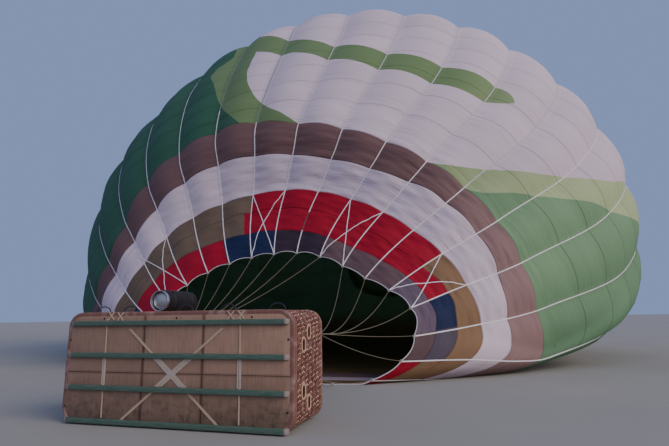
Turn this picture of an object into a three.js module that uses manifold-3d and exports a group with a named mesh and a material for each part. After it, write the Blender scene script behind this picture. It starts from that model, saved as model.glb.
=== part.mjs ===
// Hot air balloon as it lies while it is being filled: the basket on its long side, the envelope on the ground.
// Millimetres, +Z up. The basket's floor faces -Y and the envelope's axis runs along +Y.
// The origin is on the ground, in the middle of the whole length and width.
import * as THREE from 'three';
import { mergeVertices } from 'three/addons/utils/BufferGeometryUtils.js';
import Module from 'manifold-3d';

const wasm = await Module();
wasm.setup();

// General
const GAP = 0.3;                    // left between neighbouring pieces
const FULL_TURN = 2 * Math.PI;

// Envelope
const SHELL = 10;                   // wall of the fabric shell
const GORES = 24;                   // strips of panels between the load tapes
const STEPS_PER_GORE = 3;
const SECTION_SAMPLES = 288;
const BELLY_POWER = 2 / 2.6;        // squareness of a section's lower half
const GROUND_SHARE = 0.76;          // slack fabric on the ground counts for this share of its width
const SLACK_BELOW_Z = 600;          // fabric grows taut up to this height
const BULGE = 0.09;                 // height of a gore's bulge over its width
const BULGE_ROWS = { full: 16, flat: 20 };   // the bulge fades out towards the crown
const BULGE_FADE_Z = 1500;          // the bulge grows up to this height above the ground
const SEAM_ROWS = 0.0002;           // half the gap at a seam, in rows
const MOUTH_Y = -7730;
const SUNK = -250;                  // where a section's foot would be if the ground didn't flatten it

// One section of the envelope per line. A row is one row of panels along the fabric from the mouth.
// back: how far behind the mouth its sides are; half: half width; top, widest, foot: heights;
// lean: how far its top stands behind its sides; tuck: the same of its foot; drift: sideways shift.
const SECTIONS = [
  { row: 0, back: 0, half: 3550, top: 3240, widest: 1340, foot: SUNK, lean: 760, tuck: -1000, drift: 630 },
  { row: 2, back: 1020, half: 5570, top: 5250, widest: 1050, foot: SUNK, lean: 440, tuck: -1240, drift: 100 },
  { row: 3, back: 1890, half: 6650, top: 6390, widest: 650, foot: SUNK, lean: -480, tuck: -1110, drift: 0 },
  { row: 4, back: 2820, half: 7580, top: 7420, widest: 630, foot: SUNK, lean: -1270, tuck: -1100, drift: -100 },
  { row: 6, back: 4740, half: 9630, top: 9650, widest: 2000, foot: SUNK, lean: -1950, tuck: -1200, drift: 0 },
  { row: 8, back: 6520, half: 10740, top: 11900, widest: 4250, foot: SUNK, lean: -2000, tuck: -1300, drift: 0 },
  { row: 10, back: 9320, half: 10930, top: 14300, widest: 5100, foot: SUNK, lean: -2650, tuck: -1400, drift: 0 },
  { row: 12, back: 12270, half: 10210, top: 14950, widest: 5350, foot: SUNK, lean: -2800, tuck: -1500, drift: 0 },
  { row: 15, back: 16000, half: 9200, top: 14100, widest: 5350, foot: SUNK, lean: -2200, tuck: -1500, drift: 0 },
  { row: 18, back: 19300, half: 6600, top: 11900, widest: 5500, foot: 800, lean: -1400, tuck: -1200, drift: 0 },
  { row: 20, back: 20500, half: 4000, top: 9700, widest: 5650, foot: 2000, lean: -700, tuck: -600, drift: 0 },
  { row: 21, back: 20850, half: 2600, top: 8350, widest: 5700, foot: 3100, lean: -350, tuck: -300, drift: 0 },
  { row: 22.8, back: 21000, half: 0, top: 5700, widest: 5700, foot: 5700, lean: 0, tuck: 0, drift: 0 },
];
const COLUMNS = ['back', 'half', 'top', 'widest', 'foot', 'lean', 'tuck', 'drift'];

// turn: how many gores further round the load tapes stand at a row, from the right side's foot round the
// top to the left side's foot; slump: how far the slack mouth hangs in at its upper right, as a share
const SLACKNESS = [
  { row: 0, turn: 0.45, slump: 0.14 }, { row: 2, turn: -0.23, slump: 0.04 },
  { row: 3, turn: -0.42, slump: 0 }, { row: 4, turn: -0.52, slump: 0 }, { row: 9, turn: -0.5, slump: 0 },
  { row: 18, turn: 0, slump: 0 }, { row: 22.8, turn: 0, slump: 0 },
];
const TURNED = { from: 4, full: 11, until: 18, end: 24 };

// Crown: the vent's edge, the parachute's edge below it, and the rows where both have a ring of corners
const VENT_ROW = 21;
const LID_EDGE_ROW = 20.7;
const LID_ROWS = [LID_EDGE_ROW, VENT_ROW, 21.9, 22.6];
const CROWN = new THREE.Vector3(0, 13270, 5700);
const CROWN_RING = { radius: 150, bar: 14, up: 17.9 };
const VENT_TAPE = { width: 60, thick: 4, lift: 0.9 };

const HEM_RADIUS = 12;
const HEM_SIDES = 6;
const HEM_GAP = 1.4;                // wider than the other gaps, because the hem's path twists
const WIRE_RADIUS = 6;
const WIRE_STEPS = 4;
const WIRE_LOWEST = 30;             // a slack wire lies no lower than this

// Basket, measured from the middle of its floor's outer face: x along its length, z across, up is +Y
const BASKET = { x: 1430, y: -13250, z: 800, length: 3700, width: 1600, depth: 1200, corner: 230 };
const TRIM = { thick: 10, height: 110, inward: 60 };
const WALL = { thick: 38, top: 1150 };
const RIM = { inward: 58 };
const FLOOR_THICK = 18;
const RUNNER = { length: 3570, width: 70, height: 50, bevel: 40, pitch: 460, offset: -55 };
const PARTITION = { thick: 40, top: 1100, crossAt: 520 };
const FOOT_HOLE = { along: 120, high: 55 };
const FOOT_HOLES = [{ up: 385, side: 310 }, { up: 600, side: 480 }];
const CYLINDER = { radius: 150, height: 900 };
const CYLINDER_AT = { x: 345, z: 595 };
const JACKETED = { x: 1070, y: -13120, height: 850, radius: 165 };

// Burner frame and gimbal
const FRAME = { y: -11150, length: 2900, width: 840, bar: 50, corner: 60, crossAt: 520 };
const UPRIGHT = { radius: 32, foot: { x: 1500, z: 771 }, head: { x: 1400, z: 385 } };
const LUG = { thick: 12, width: 60, height: 75, eye: 17, eyeUp: 45 };
const LINK = { bar: 7, radius: 30, straight: 90, seat: 7.9 };
const GIMBAL = { length: 940, width: 690, bar: 30 };
const CRADLE = { length: 800, width: 580, bar: 30, railAt: 100 };
const PIN = { radius: 12, clear: 0.6, sides: 16, reach: 25 };
const BURNER = { at: 190, flange: 150, flangeThick: 8, block: { x: 160, y: 180, z: 120 } };
const CAN = { radius: 140, wall: 7, height: 420 };
const COIL = { radius: 112, bar: 9, turns: 5, pitch: 62, steps: 50 };
const JETS = { radius: 70, bar: 8, up: 60, riser: 18, spoke: 12 };
const LEVER = { bar: 16, length: 240, out: 40 };

const finish = (color, roughness, metalness = 0) => ({ color, roughness, metalness });
const FINISHES = {
  navy: finish('#26345f', 0.75), red: finish('#8c1b2d', 0.75), white: finish('#b9b2bd', 0.75),
  brown: finish('#4f3d43', 0.75), green: finish('#1f4a37', 0.75), hem: finish('#c9c3c6', 0.8),
  wire: finish('#6f6a55', 0.5, 0.4), steel: finish('#9a9da0', 0.35, 0.9), wicker: finish('#7b5a43', 0.85),
  leather: finish('#6e4a3c', 0.7), plywood: finish('#a68c7c', 0.8), paint: finish('#4d7568', 0.65),
  sleeve: finish('#5b3b33', 0.8), tank: finish('#a3a5a4', 0.4, 0.8), jacket: finish('#1b1c20', 0.9),
};

const balloon = new THREE.Group();

function addNode(name, geometry, finishName) {
  const mesh = new THREE.Mesh(geometry, new THREE.MeshStandardMaterial(FINISHES[finishName]));
  mesh.name = name;
  balloon.add(mesh);
  return mesh;
}

// Solids

function bareGeometry(geometry) {
  geometry.deleteAttribute('normal');
  geometry.deleteAttribute('uv');
  return mergeVertices(geometry, 1e-4);
}

function signedVolume(points, triangles) {
  let sum = 0;
  for (let i = 0; i < triangles.length; i += 3) {
    const [a, b, c] = [points[triangles[i]], points[triangles[i + 1]], points[triangles[i + 2]]];
    sum += a.dot(b.clone().cross(c)) / 6;
  }
  return sum;
}

// A closed body from rings of points, each with as many points. A loop of rings closes on itself;
// otherwise the first and the last ring are closed by a fan round their middles. Strips from number
// turnedFrom on are divided the other way, so that a shell's two faces, and the twisted edges of two bands
// at a seam, are divided alike.
function bodyOfRings(rings, loop, turnedFrom = rings.length) {
  const points = rings.flat();
  const triangles = [];
  const around = rings[0].length;
  const pairs = loop ? rings.length : rings.length - 1;
  for (let i = 0; i < pairs; i += 1) {
    const next = (i + 1) % rings.length;
    for (let j = 0; j < around; j += 1) {
      const k = (j + 1) % around;
      const [a, b, c, d] = [i * around + j, i * around + k, next * around + k, next * around + j];
      triangles.push(...(i >= turnedFrom ? [a, b, d, b, c, d] : [a, b, c, a, c, d]));
    }
  }
  if (!loop) {
    const last = (rings.length - 1) * around;
    for (const [start, ring, turned] of [[0, rings[0], true], [last, rings[rings.length - 1], false]]) {
      const middle = points.length;
      points.push(ring.reduce((sum, p) => sum.add(p), new THREE.Vector3()).divideScalar(around));
      for (let j = 0; j < around; j += 1) {
        const [a, b] = [start + j, start + ((j + 1) % around)];
        triangles.push(...(turned ? [b, a, middle] : [a, b, middle]));
      }
    }
  }
  if (signedVolume(points, triangles) < 0) triangles.reverse();
  const geometry = new THREE.BufferGeometry().setFromPoints(points);
  geometry.setIndex(triangles);
  return geometry;
}

function toSolid(geometry) {
  const bare = bareGeometry(geometry.index ? geometry.clone() : geometry);
  return new wasm.Manifold(new wasm.Mesh({
    numProp: 3,
    vertProperties: new Float32Array(bare.attributes.position.array),
    triVerts: new Uint32Array(bare.index.array),
  }));
}

function toGeometry(solid) {
  const mesh = solid.getMesh();
  const geometry = new THREE.BufferGeometry();
  geometry.setAttribute('position', new THREE.BufferAttribute(mesh.vertProperties, 3));
  geometry.setIndex(new THREE.BufferAttribute(mesh.triVerts, 1));
  return geometry;
}

const joined = (geometries) => geometries.map(toSolid).reduce((sum, part) => sum.add(part));
const join = (...geometries) => toGeometry(joined(geometries));
const cut = (geometry, ...tools) => toGeometry(toSolid(geometry).subtract(joined(tools)));

function box(sx, sy, sz, x, y, z) {
  return new THREE.BoxGeometry(sx, sy, sz).translate(x, y, z);
}

function rod(radius, length, sides, axis, x, y, z) {
  const geometry = new THREE.CylinderGeometry(radius, radius, length, sides);
  if (axis === 'x') geometry.rotateZ(Math.PI / 2);
  if (axis === 'z') geometry.rotateX(Math.PI / 2);
  return geometry.translate(x, y, z);
}

function tubeAlong(curve, radius, sides, steps) {
  const shape = new THREE.Shape();
  for (let i = 0; i < sides; i += 1) {
    const angle = (i / sides) * FULL_TURN;
    const [x, y] = [radius * Math.cos(angle), radius * Math.sin(angle)];
    if (i === 0) shape.moveTo(x, y); else shape.lineTo(x, y);
  }
  shape.closePath();
  return new THREE.ExtrudeGeometry(shape, { steps, extrudePath: curve, bevelEnabled: false });
}

// Outline of a rectangle with round corners in the XZ plane, each point with its outward direction
function roundedOutline(length, width, corner, cornerSteps = 4) {
  const outline = [];
  for (let quarter = 0; quarter < 4; quarter += 1) {
    const side = [[1, 1], [-1, 1], [-1, -1], [1, -1]][quarter];
    const centre = { x: side[0] * (length / 2 - corner), z: side[1] * (width / 2 - corner) };
    for (let i = 0; i <= cornerSteps; i += 1) {
      const angle = ((quarter + i / cornerSteps) * Math.PI) / 2;
      const out = { x: Math.cos(angle), z: Math.sin(angle) };
      outline.push({ x: centre.x + corner * out.x, z: centre.z + corner * out.z, out });
    }
  }
  return outline;
}

// A ring round an outline. The profile's points are [outward offset, height above y].
function ringRound(outline, profile, x, y, z) {
  const rings = outline.map((p) => profile.map(([offset, up]) => (
    new THREE.Vector3(x + p.x + offset * p.out.x, y + up, z + p.z + offset * p.out.z))));
  return bodyOfRings(rings, true);
}

// Envelope

// A smooth curve through one column of a table
function column(table, key, row) {
  let i = 0;
  while (i < table.length - 2 && row > table[i + 1].row) i += 1;
  const slope = (k) => {
    const before = table[Math.max(k - 1, 0)];
    const after = table[Math.min(k + 1, table.length - 1)];
    return (after[key] - before[key]) / (after.row - before.row);
  };
  const [a, b] = [table[i], table[i + 1]];
  const span = b.row - a.row;
  const t = (row - a.row) / span;
  const [t2, t3] = [t * t, t * t * t];
  return (2 * t3 - 3 * t2 + 1) * a[key] + (t3 - 2 * t2 + t) * span * slope(i)
    + (3 * t2 - 2 * t3) * b[key] + (t3 - t2) * span * slope(i + 1);
}

const sectionCache = new Map();

// The section at a row as a line of points from the middle of its foot, round by the +X side,
// with its length so far at each point
function section(row) {
  if (sectionCache.has(row)) return sectionCache.get(row);
  const s = Object.fromEntries(COLUMNS.map((key) => [key, column(SECTIONS, key, row)]));
  const slump = column(SLACKNESS, 'slump', row);
  const points = [];
  const lengths = [0];
  for (let i = 0; i <= SECTION_SAMPLES; i += 1) {
    const angle = (i / SECTION_SAMPLES - 0.25) * FULL_TURN;
    const [across, up] = [Math.cos(angle), Math.sin(angle)];
    const upper = up >= 0;
    const full = upper && across > 0 ? 1 - slump * (2 * across * up) ** 2 : 1;
    const x = full * (upper ? across : Math.sign(across) * Math.abs(across) ** BELLY_POWER);
    const z = upper ? s.widest + (s.top - s.widest) * up * full
      : s.widest - (s.widest - s.foot) * Math.abs(up) ** BELLY_POWER;
    const y = s.back + (upper ? s.lean * up : -s.tuck * up);
    points.push(new THREE.Vector3(s.drift + s.half * x, MOUTH_Y + y, Math.max(z, 0)));
    if (i > 0) {
      const step = points[i].distanceTo(points[i - 1]);
      const taut = THREE.MathUtils.smoothstep(points[i].z + points[i - 1].z, 0, 2 * SLACK_BELOW_Z);
      lengths.push(lengths[i - 1] + step * (GROUND_SHARE + (1 - GROUND_SHARE) * taut));
    }
  }
  const result = { points, lengths, total: lengths[SECTION_SAMPLES] };
  sectionCache.set(row, result);
  return result;
}

function gorePoint(row, gore) {
  const { points, lengths, total } = section(row);
  const { smoothstep, euclideanModulo } = THREE.MathUtils;
  const place = euclideanModulo(gore, GORES);
  const turned = smoothstep(place, TURNED.from, TURNED.full) * (1 - smoothstep(place, TURNED.until, TURNED.end));
  const wanted = ((place + column(SLACKNESS, 'turn', row) * turned) / GORES) * total;
  let i = 1;
  while (i < SECTION_SAMPLES && lengths[i] < wanted) i += 1;
  const t = (wanted - lengths[i - 1]) / (lengths[i] - lengths[i - 1]);
  return points[i - 1].clone().lerp(points[i], t);
}

function outward(row, gore) {
  const [rowStep, goreStep] = [0.02, 0.2];
  const alongRow = gorePoint(row + rowStep, gore).sub(gorePoint(row - rowStep, gore));
  const alongGore = gorePoint(row, gore + goreStep).sub(gorePoint(row, gore - goreStep));
  return alongRow.cross(alongGore).normalize();
}

function bulge(row, gore, height) {
  const f = gore - Math.floor(gore);
  const rise = THREE.MathUtils.smoothstep(height, 0, BULGE_FADE_Z);
  const fade = 1 - THREE.MathUtils.smoothstep(row, BULGE_ROWS.full, BULGE_ROWS.flat);
  const throat = 0.4 + 0.6 * THREE.MathUtils.smoothstep(row, 0, 3);
  return 4 * f * (1 - f) * BULGE * (section(row).total / GORES) * rise * fade * throat;
}

// A point of the envelope at a depth below its outer face
function fabricPoint(row, gore, depth) {
  const p = gorePoint(row, gore);
  return p.clone().addScaledVector(outward(row, gore), bulge(row, gore, p.z) - depth);
}

function fabricRing(row, depth, stepsPerGore = STEPS_PER_GORE) {
  return Array.from({ length: GORES * stepsPerGore }, (_, i) => fabricPoint(row, i / stepsPerGore, depth));
}

function fabricBand(rows) {
  const cutRows = rows.map((row, i) => {
    if (i === 0) return row + SEAM_ROWS;
    return i === rows.length - 1 ? row - SEAM_ROWS : row;
  });
  const inner = cutRows.map((row) => fabricRing(row, SHELL));
  const outer = cutRows.map((row) => fabricRing(row, 0)).reverse();
  return bodyOfRings([...inner, ...outer], true, inner.length);
}

const BANDS = [
  { name: 'mouth_row', rows: [0, 0.75], finish: 'navy' },
  { name: 'throat_row', rows: [0.75, 2], finish: 'red' },
  { name: 'white_row', rows: [2, 3], finish: 'white' },
  { name: 'brown_row', rows: [3, 4], finish: 'brown' },
  { name: 'main_panels', rows: [4, 5.5, 7, 8.5, 10, 11.5, 13, 15, 17], finish: 'green' },
  { name: 'crown_panels', rows: [17, 19, LID_EDGE_ROW, VENT_ROW], finish: 'white' },
];
for (const { name, rows, finish: look } of BANDS) addNode(name, fabricBand(rows), look);

function lidRings(depth) {
  return LID_ROWS.map((row) => fabricRing(row, depth, 1));
}
const lid = bodyOfRings([...lidRings(SHELL + GAP).reverse(), ...lidRings(2 * SHELL + GAP)], false);
addNode('parachute_valve', lid, 'red');

// A flat tape over the vent, from the crown panels' edge to the crown ring
function ventTape(gore) {
  const rings = LID_ROWS.map((row) => {
    const side = gorePoint(row, gore + 0.1).sub(gorePoint(row, gore - 0.1)).setLength(VENT_TAPE.width / 2);
    const lifts = [VENT_TAPE.lift, VENT_TAPE.lift + VENT_TAPE.thick];
    const [low, high] = lifts.map((lift) => fabricPoint(row, gore, -lift));
    return [low.clone().add(side), low.clone().sub(side), high.clone().sub(side), high.clone().add(side)];
  });
  const spoke = rings[rings.length - 1].map((p) => p.clone().sub(CROWN).setY(0));
  const direction = spoke[0].clone().add(spoke[1]).normalize();
  const side = spoke[0].clone().sub(spoke[1]).setLength(CROWN_RING.bar);
  const [low, high] = [4, 16].map((up) => (
    CROWN.clone().addScaledVector(direction, CROWN_RING.radius).add(new THREE.Vector3(0, up, 0))));
  rings.push([low.clone().add(side), low.clone().sub(side), high.clone().sub(side), high.clone().add(side)]);
  return bodyOfRings(rings, false);
}
const crownRing = new THREE.TorusGeometry(CROWN_RING.radius, CROWN_RING.bar, 6, GORES)
  .rotateX(Math.PI / 2).translate(CROWN.x, CROWN.y + CROWN_RING.up, CROWN.z);
const ventTapes = Array.from({ length: GORES }, (_, i) => ventTape(i));
addNode('crown_ring', join(crownRing, ...ventTapes), 'hem');

// Mouth hem: a cord in front of the mouth row's edge, lifted where it lies on the ground
function hemCentre(step) {
  const gore = step / STEPS_PER_GORE;
  const edge = (row, g) => fabricPoint(row, g, SHELL / 2);
  const along = edge(0, gore + 1 / STEPS_PER_GORE).sub(edge(0, gore - 1 / STEPS_PER_GORE)).normalize();
  const back = edge(0.02, gore).sub(edge(0, gore));
  back.addScaledVector(along, -back.dot(along)).normalize();
  const centre = edge(0, gore).addScaledVector(back, -HEM_RADIUS - HEM_GAP);
  centre.z = Math.max(centre.z, HEM_RADIUS);
  return { centre, back, out: along.cross(back).normalize() };
}
function hemBody(radius) {
  const rings = Array.from({ length: GORES * STEPS_PER_GORE }, (_, step) => {
    const { centre, back, out } = hemCentre(step);
    return Array.from({ length: HEM_SIDES }, (__, k) => {
      const angle = (k / HEM_SIDES) * FULL_TURN;
      const p = centre.clone().addScaledVector(back, radius * Math.cos(angle));
      return p.addScaledVector(out, radius * Math.sin(angle));
    });
  });
  return bodyOfRings(rings, true);
}
addNode('mouth_hem', hemBody(HEM_RADIUS), 'hem');

// Basket

const at = (x, up, z) => [BASKET.x + x, BASKET.y + up, BASKET.z + z];
const basketOutline = roundedOutline(BASKET.length, BASKET.width, BASKET.corner);
const ringOnBasket = (profile) => ringRound(basketOutline, profile, BASKET.x, BASKET.y, BASKET.z);

addNode('basket_trim', ringOnBasket([
  [0, 0], [0, TRIM.height], [-TRIM.thick, TRIM.height], [-TRIM.thick, TRIM.thick],
  [-TRIM.inward, TRIM.thick], [-TRIM.inward, 0],
]), 'leather');

const wallOut = -TRIM.thick - GAP;
const wallIn = wallOut - WALL.thick;
const wallFoot = TRIM.thick + GAP;
const wallRing = ringOnBasket([[wallOut, wallFoot], [wallOut, WALL.top], [wallIn, WALL.top], [wallIn, wallFoot]]);

// The wicker wall in four woven panels: two ends with foot holes, and two sides that turn the corners
const endWidth = BASKET.width - 2 * BASKET.corner;
for (const [name, side] of [['left', -1], ['right', 1]]) {
  const room = box(4 * WALL.thick, BASKET.depth, endWidth - GAP,
    ...at(side * (BASKET.length / 2), BASKET.depth / 2, 0));
  const holes = FOOT_HOLES.flatMap(({ up, side: across }) => [-1, 1].map((hand) => (
    box(6 * WALL.thick, FOOT_HOLE.high, FOOT_HOLE.along, ...at(side * (BASKET.length / 2), up, hand * across)))));
  const panel = toSolid(wallRing).intersect(toSolid(room)).subtract(joined(holes));
  addNode(`wicker_end_${name}`, toGeometry(panel), 'wicker');
}
for (const [name, side] of [['upper', 1], ['lower', -1]]) {
  const reach = (BASKET.width - endWidth) / 2;
  const room = box(2 * BASKET.length, BASKET.depth, reach - GAP / 2,
    ...at(0, BASKET.depth / 2, side * (BASKET.width / 2 - (reach - GAP / 2) / 2)));
  addNode(`wicker_side_${name}`, toGeometry(toSolid(wallRing).intersect(toSolid(room))), 'wicker');
}

const rimFoot = WALL.top + GAP;
const rimMiddle = -RIM.inward / 2;
addNode('basket_rim', ringOnBasket([
  [rimMiddle + 20, rimFoot], [0, rimFoot + 14], [0, rimFoot + 34], [rimMiddle + 16, BASKET.depth],
  [rimMiddle - 16, BASKET.depth], [-RIM.inward, rimFoot + 34], [-RIM.inward, rimFoot + 14],
  [rimMiddle - 20, rimFoot],
]), 'leather');

const floorInset = 2 * (TRIM.inward + GAP);
const floorOutline = roundedOutline(BASKET.length - floorInset, BASKET.width - floorInset,
  BASKET.corner - TRIM.inward);
const floorFace = (up) => floorOutline.map((p) => new THREE.Vector3(...at(p.x, up, p.z)));
addNode('basket_floor', bodyOfRings([floorFace(0), floorFace(FLOOR_THICK)], false), 'plywood');

// A runner with its ends bevelled, along the floor's outer face
function runner(z) {
  const [half, slope, h] = [RUNNER.length / 2, RUNNER.bevel, RUNNER.height];
  const face = (side) => [[-half, -GAP], [half, -GAP], [half - slope, -h], [-half + slope, -h]]
    .map(([x, up]) => new THREE.Vector3(...at(x, up, z + side * (RUNNER.width / 2))));
  return bodyOfRings([face(-1), face(1)], false);
}
for (let i = 0; i < 4; i += 1) {
  addNode(`floor_runner_${i + 1}`, runner(RUNNER.offset + (1.5 - i) * RUNNER.pitch), 'paint');
}

// Partitions: two across the basket, and one on each side of them along its length
const insideX = BASKET.length / 2 + wallIn - GAP;
const insideZ = BASKET.width / 2 + wallIn - GAP;
const partitionFoot = FLOOR_THICK + GAP;
const partitionHeight = PARTITION.top - partitionFoot;
const partitionMiddle = partitionFoot + partitionHeight / 2;
const sideFrom = PARTITION.crossAt + PARTITION.thick / 2 + GAP;
for (const [name, side] of [['left', -1], ['right', 1]]) {
  const cross = box(PARTITION.thick, partitionHeight, 2 * insideZ,
    ...at(side * PARTITION.crossAt, partitionMiddle, 0));
  addNode(`cross_partition_${name}`, cross, 'wicker');
  const length = insideX - sideFrom;
  const along = box(length, partitionHeight, PARTITION.thick,
    ...at(side * (sideFrom + length / 2), partitionMiddle, 0));
  addNode(`side_partition_${name}`, along, 'wicker');
}

// A fuel cylinder standing on y = 0, with a foot ring below and a collar above
function fuelCylinder(radius, height) {
  const profile = [
    [0, 35], [0.6, 25], [0.8, 10], [0.8, 0], [0.87, 0], [0.87, 45], [1, 95], [1, height - 130], [0.75, height - 80],
    [0.62, height - 75], [0.62, height], [0.55, height], [0.55, height - 72], [0, height - 66],
  ].map(([share, up]) => new THREE.Vector2(share * radius, up));
  return new THREE.LatheGeometry(profile, 12);
}
let cylinderNumber = 0;
for (const z of [CYLINDER_AT.z, -CYLINDER_AT.z]) {
  for (const x of [-CYLINDER_AT.x, CYLINDER_AT.x]) {
    cylinderNumber += 1;
    const tank = bareGeometry(fuelCylinder(CYLINDER.radius, CYLINDER.height));
    addNode(`fuel_cylinder_${cylinderNumber}`, tank.translate(...at(x, partitionFoot, z)), 'tank');
  }
}
const spareTank = bareGeometry(fuelCylinder(JACKETED.radius, JACKETED.height));
addNode('jacketed_cylinder', spareTank.translate(JACKETED.x, JACKETED.y,
  BASKET.z + BASKET.width / 2 + wallOut + JACKETED.radius + GAP), 'jacket');

// Burner frame

const onFrame = (x, up, z) => [BASKET.x + x, FRAME.y + up, BASKET.z + z];
const squareRing = (size, corner) => ringRound(
  roundedOutline(size.length, size.width, corner, 2),
  [[0, -size.bar / 2], [0, size.bar / 2], [-size.bar, size.bar / 2], [-size.bar, -size.bar / 2]],
  BASKET.x, FRAME.y, BASKET.z);
const corners = [[1, 1], [-1, 1], [-1, -1], [1, -1]];
const lugAt = { x: FRAME.length / 2 - FRAME.bar, z: FRAME.width / 2 - FRAME.bar / 2 };
const eyeY = FRAME.bar / 2 + LUG.eyeUp;

function lug([sx, sz]) {
  const [x, z] = [sx * lugAt.x, sz * lugAt.z];
  const plate = box(LUG.thick, LUG.height + 10, LUG.width, ...onFrame(x, FRAME.bar / 2 + LUG.height / 2 - 5, z));
  const eye = rod(LUG.eye / Math.cos(Math.PI / 16), 2 * LUG.thick, 16, 'y', 0, 0, 0)
    .rotateY(Math.PI / 16).rotateZ(Math.PI / 2).translate(...onFrame(x, eyeY, z));
  return cut(plate, eye);
}
const pinHole = PIN.radius + PIN.clear;
const crossBars = [-1, 1].map((side) => (
  box(FRAME.bar, FRAME.bar, FRAME.width - FRAME.bar, ...onFrame(side * FRAME.crossAt, 0, 0))));
const frameHoles = [-1, 1].map((side) => (
  rod(pinHole, 2 * FRAME.bar, PIN.sides, 'x', ...onFrame(side * FRAME.crossAt, 0, 0))));
const frameBody = join(squareRing(FRAME, FRAME.corner), ...crossBars, ...corners.map(lug));
addNode('burner_frame', cut(frameBody, ...frameHoles), 'steel');

// An upright from the padded rim to the frame, its ends flat on both
function upright([sx, sz]) {
  const ends = [
    { up: BASKET.depth + GAP, x: sx * UPRIGHT.foot.x, z: sz * UPRIGHT.foot.z },
    { up: FRAME.y - FRAME.bar / 2 - BASKET.y - GAP, x: sx * UPRIGHT.head.x, z: sz * UPRIGHT.head.z },
  ];
  return bodyOfRings(ends.map(({ up, x, z }) => Array.from({ length: 12 }, (_, k) => {
    const angle = (k / 12) * FULL_TURN;
    return new THREE.Vector3(...at(x + UPRIGHT.radius * Math.cos(angle), up, z + UPRIGHT.radius * Math.sin(angle)));
  })), false);
}
corners.forEach((corner, i) => addNode(`upright_${i + 1}`, upright(corner), 'sleeve'));

// Gimbal ring, which turns about X in the frame, and the cradle, which turns about Z in the ring
const pinLength = PIN.reach + 40;
const gimbalPins = [-1, 1].map((side) => (
  rod(PIN.radius, pinLength, PIN.sides, 'x', ...onFrame(side * (GIMBAL.length / 2 - 20 + pinLength / 2), 0, 0))));
const gimbalHoles = [-1, 1].map((side) => (
  rod(pinHole, 2 * GIMBAL.bar, PIN.sides, 'z', ...onFrame(0, 0, side * (GIMBAL.width / 2)))));
addNode('gimbal_ring', cut(join(squareRing(GIMBAL, 20), ...gimbalPins), ...gimbalHoles), 'steel');

const rails = [-1, 1].map((side) => (
  box(CRADLE.length - CRADLE.bar, CRADLE.bar, CRADLE.bar, ...onFrame(0, 0, side * CRADLE.railAt))));
const cradlePins = [-1, 1].map((side) => (
  rod(PIN.radius, pinLength, PIN.sides, 'z', ...onFrame(0, 0, side * (CRADLE.width / 2 - 20 + pinLength / 2)))));
addNode('burner_cradle', join(squareRing(CRADLE, 20), ...rails, ...cradlePins), 'steel');

// Burners
const flangeFoot = CRADLE.bar / 2 + GAP;
const flangeTop = flangeFoot + BURNER.flangeThick;

function burnerBlock(x) {
  const { flange, flangeThick, block } = BURNER;
  const jetsY = flangeTop + JETS.up;
  return join(
    rod(flange, flangeThick, 24, 'y', ...onFrame(x, flangeFoot + flangeThick / 2, 0)),
    box(block.x, block.y, block.z, ...onFrame(x, flangeFoot + 1 - block.y / 2, 0)),
    rod(JETS.riser, JETS.up + 4, 12, 'y', ...onFrame(x, flangeTop + JETS.up / 2, 0)),
    new THREE.TorusGeometry(JETS.radius, JETS.bar, 6, 16).rotateX(Math.PI / 2).translate(...onFrame(x, jetsY, 0)),
    box(2 * JETS.radius, JETS.spoke, JETS.spoke, ...onFrame(x, jetsY, 0)),
    box(JETS.spoke, JETS.spoke, 2 * JETS.radius, ...onFrame(x, jetsY, 0)),
    box(LEVER.bar, LEVER.length, LEVER.bar, ...onFrame(x + LEVER.out, flangeFoot - LEVER.length / 2 - 60, 0)),
  );
}

function coil(x) {
  const start = flangeTop + COIL.bar + GAP;
  const points = Array.from({ length: COIL.steps + 1 }, (_, i) => {
    const t = i / COIL.steps;
    const angle = t * COIL.turns * FULL_TURN;
    return new THREE.Vector3(...onFrame(
      x + COIL.radius * Math.cos(angle), start + t * COIL.turns * COIL.pitch, COIL.radius * Math.sin(angle)));
  });
  return tubeAlong(new THREE.CatmullRomCurve3(points), COIL.bar, 5, COIL.steps);
}

function can(x) {
  const [low, high] = [flangeTop + GAP, flangeTop + GAP + CAN.height];
  const inside = CAN.radius - CAN.wall;
  const profile = [[inside, low], [CAN.radius, low], [CAN.radius, high], [inside, high], [inside, low]];
  return new THREE.LatheGeometry(profile.map(([r, up]) => new THREE.Vector2(r, up)), 24).translate(...onFrame(x, 0, 0));
}
for (const [name, side] of [['left', -1], ['right', 1]]) {
  const x = side * BURNER.at;
  addNode(`burner_block_${name}`, burnerBlock(x), 'steel');
  addNode(`burner_coil_${name}`, coil(x), 'steel');
  addNode(`burner_can_${name}`, can(x), 'steel');
}

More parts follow.
